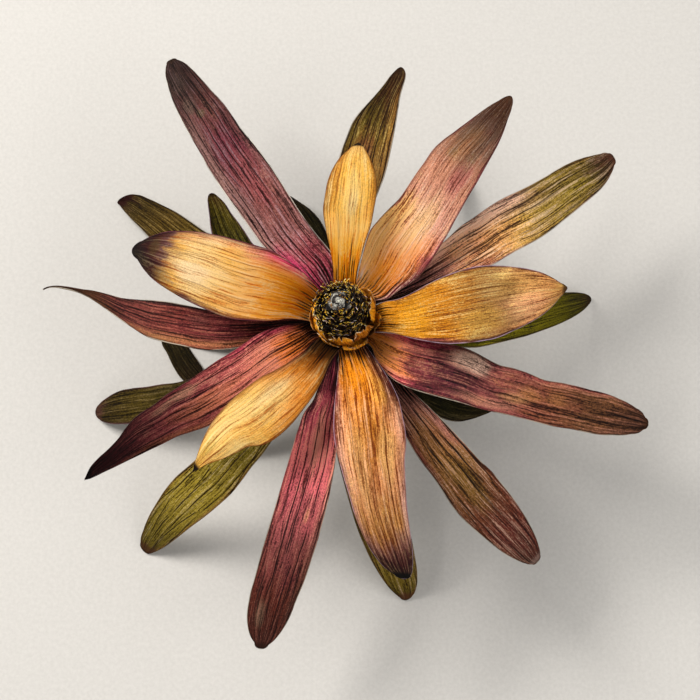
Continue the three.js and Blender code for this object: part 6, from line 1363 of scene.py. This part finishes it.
def stem():
    rng = random.Random(31)
    prof = np.array(STEM_LINE)
    s = np.r_[0, np.cumsum(np.linalg.norm(np.diff(prof, axis=0), axis=1))]
    sides, rings = 110, 260
    at = np.linspace(0, s[-1], rings)
    r = np.interp(at, s, prof[:, 0]); z = np.interp(at, s, prof[:, 1])
    seats = []
    for node, rows in ROWS.items():
        base = (np.array(rows[0][0:3]) + np.array(rows[0][3:6])) / 2
        seats.append((math.atan2(base[1] - STEM_AXIS[1], base[0] - STEM_AXIS[0]), base[2]))
    verts, tone = [], []
    ph = [(rng.uniform(0, 6.283), rng.randint(5, 17), rng.uniform(0.02, 0.12)) for _ in range(9)]
    for i in range(rings):
        for k in range(sides):
            a = 2 * math.pi * k / sides
            bark = sum(math.sin(n * a + p + f * 3 * z[i] + 0.6 * math.sin(0.35 * z[i] + p)) for p, n, f in ph) / 9
            bump = 0.16 * bark
            for (sa, sz) in seats:
                da = (a - sa + math.pi) % (2 * math.pi) - math.pi
                g = math.exp(-(da / 0.42) ** 2 - ((z[i] - sz + 1.6) / 1.5) ** 2)
                bump += 0.28 * g
                bump -= 0.22 * math.exp(-(da / 0.30) ** 2 - ((z[i] - sz + 0.2) / 0.35) ** 2)
            bump = min(max(bump, -0.32), 0.24) * float(smooth(z[i] / 0.8)) * float(smooth((68.0 - z[i]) / 1.0))
            if z[i] > 46:
                bump = min(bump, 0.0)
            rr = r[i] + bump
            verts.append(AXIS + np.array([rr * math.cos(a), rr * math.sin(a), z[i]]))
            tone.append((k / sides, z[i], 0.0))
    faces = []
    for i in range(rings - 1):
        for k in range(sides):
            k2 = (k + 1) % sides
            faces.append((i * sides + k, i * sides + k2, (i + 1) * sides + k2, (i + 1) * sides + k))
    # the cut: rings of points to the middle
    last = list(range(sides))
    cut_r = [2.9, 2.5, 2.0, 1.5, 1.0, 0.6, 0.25]
    for rr in cut_r:
        b = len(verts)
        for k in range(sides):
            a = 2 * math.pi * k / sides
            verts.append(AXIS + np.array([rr * math.cos(a), rr * math.sin(a), 0.0 if rr > 0.7 else 0.12]))
            tone.append((k / sides, rr, 1.0))
        for k in range(sides):
            k2 = (k + 1) % sides
            faces.append((last[k2], last[k], b + k, b + k2))
        last = list(range(b, b + sides))
    b = len(verts); verts.append(AXIS + np.array([0, 0, 0.15])); tone.append((0, 0, 1.0))
    for k in range(sides):
        faces.append((last[(k + 1) % sides], last[k], b))
    top = (rings - 1) * sides
    b = len(verts); verts.append(AXIS + np.array([0, 0, 68.3])); tone.append((0, 68.3, 0.0))
    for k in range(sides):
        faces.append((top + k, top + (k + 1) % sides, b))
    return new_mesh("stem_bark", leaned(verts), faces, attrs={"tone": np.array(tone)})


def stem_material():
    N = Nodes("stem_skin")
    a, z, kind = N.split(N.attr("tone"))
    pos = N.node("ShaderNodeTexCoord").outputs["Object"]
    px, py, pz = N.split(pos)
    n = N.noise(pos, 260.0, 4.0, 0.6)
    fib = N.noise(N.vec(N.mul(px, 1500.0), N.mul(py, 1500.0), N.mul(pz, 120.0)), 1.0, 3.0, 0.6)
    crack = N.noise(N.vec(N.mul(px, 520.0), N.mul(py, 520.0), N.mul(pz, 45.0)), 1.0, 4.0, 0.65)
    bark = N.ramp(N.add(N.mul(n, 0.5), N.mul(fib, 0.5)), [(0.3, "bark"), (0.45, "umber"), (0.56, "cocoa"), (0.7, "taupe")])
    bark = N.mix(N.mul(N.ramp01(crack, 0.47, 0.38), 0.8), bark, "soot")
    bark = N.mix(N.mul(N.ramp01(N.noise(pos, 95.0, 2.0), 0.55, 0.7), 0.4), bark, "drab")
    bark = N.mix(N.mul(N.ramp01(z, 45.0, 50.5), 0.97), bark, "#050403")
    # the cut end
    ring = N.math("SINE", N.mul(N.add(z, N.mul(N.sub(n, 0.5), 0.25)), 11.0))
    rays = N.noise(N.vec(N.mul(a, 70.0), N.mul(z, 0.6), 0.0), 1.0, 2.0)
    wood = N.ramp(N.add(N.mul(ring, 0.25), N.add(N.mul(rays, 0.5), 0.2)), [(0.2, "tan"), (0.5, "sand"), (0.8, "cream")])
    wood = N.mix(N.ramp01(z, 0.85, 0.6), wood, "brown")
    wood = N.mix(N.ramp01(z, 2.75, 3.0), wood, "umber")
    col = N.mix(N.ramp01(kind, 0.4, 0.6), bark, wood)
    h = N.add(N.mul(fib, 0.5), N.mul(crack, 0.9))
    return N.finish(col, N.add(0.62, N.mul(n, 0.25)), h, bump=0.0003, spec=0.25)


ob = stem()
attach(ob, "root")
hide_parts("stem")
ob.data.materials.append(stem_material())


# ----------------------------------------------------------- floor and light --
def plane(name, size, z=0.0):
    me = bpy.data.meshes.new(name)
    h = size / 2
    me.from_pydata([(-h, -h, z), (h, -h, z), (h, h, z), (-h, h, z)], [], [(0, 1, 2, 3)])
    ob = bpy.data.objects.new(name, me)
    bpy.context.scene.collection.objects.link(ob)
    return ob


floor = plane("floor", 4.0, -0.0001)
NF = Nodes("floor_skin")
fpos = NF.node("ShaderNodeTexCoord").outputs["Object"]
grain = NF.noise(fpos, 900.0, 2.0, 0.6)
fcol = NF.ramp(grain, [(0.3, "#cac7c2"), (0.7, "#d2cfca")])
floor.data.materials.append(NF.finish(fcol, 0.85, grain, bump=0.00003, spec=0.2))


def area(name, at, look, size, power, color=(1, 1, 1)):
    L = bpy.data.lights.new(name, "AREA")
    L.shape = "RECTANGLE"
    L.size, L.size_y = size
    L.energy = power
    L.color = color
    ob = bpy.data.objects.new(name, L)
    bpy.context.scene.collection.objects.link(ob)
    ob.location = at
    d = Vector(look) - Vector(at)
    ob.rotation_euler = d.to_track_quat("-Z", "Y").to_euler()
    return ob


area("key", (-0.55, 0.35, 0.75), (0, 0, 0.05), (0.50, 0.42), 10.9, (1.0, 0.97, 0.93))
area("fill", (0.65, -0.35, 0.6), (0, 0, 0.04), (0.8, 0.8), 4.2, (1.0, 0.99, 0.97))
world = bpy.data.worlds.new("studio")
bpy.context.scene.world = world
world.use_nodes = True
world.node_tree.nodes["Background"].inputs[0].default_value = (0.97, 0.97, 0.97, 1.0)
world.node_tree.nodes["Background"].inputs[1].default_value = 0.31
bpy.context.scene.view_settings.view_transform = "Standard"
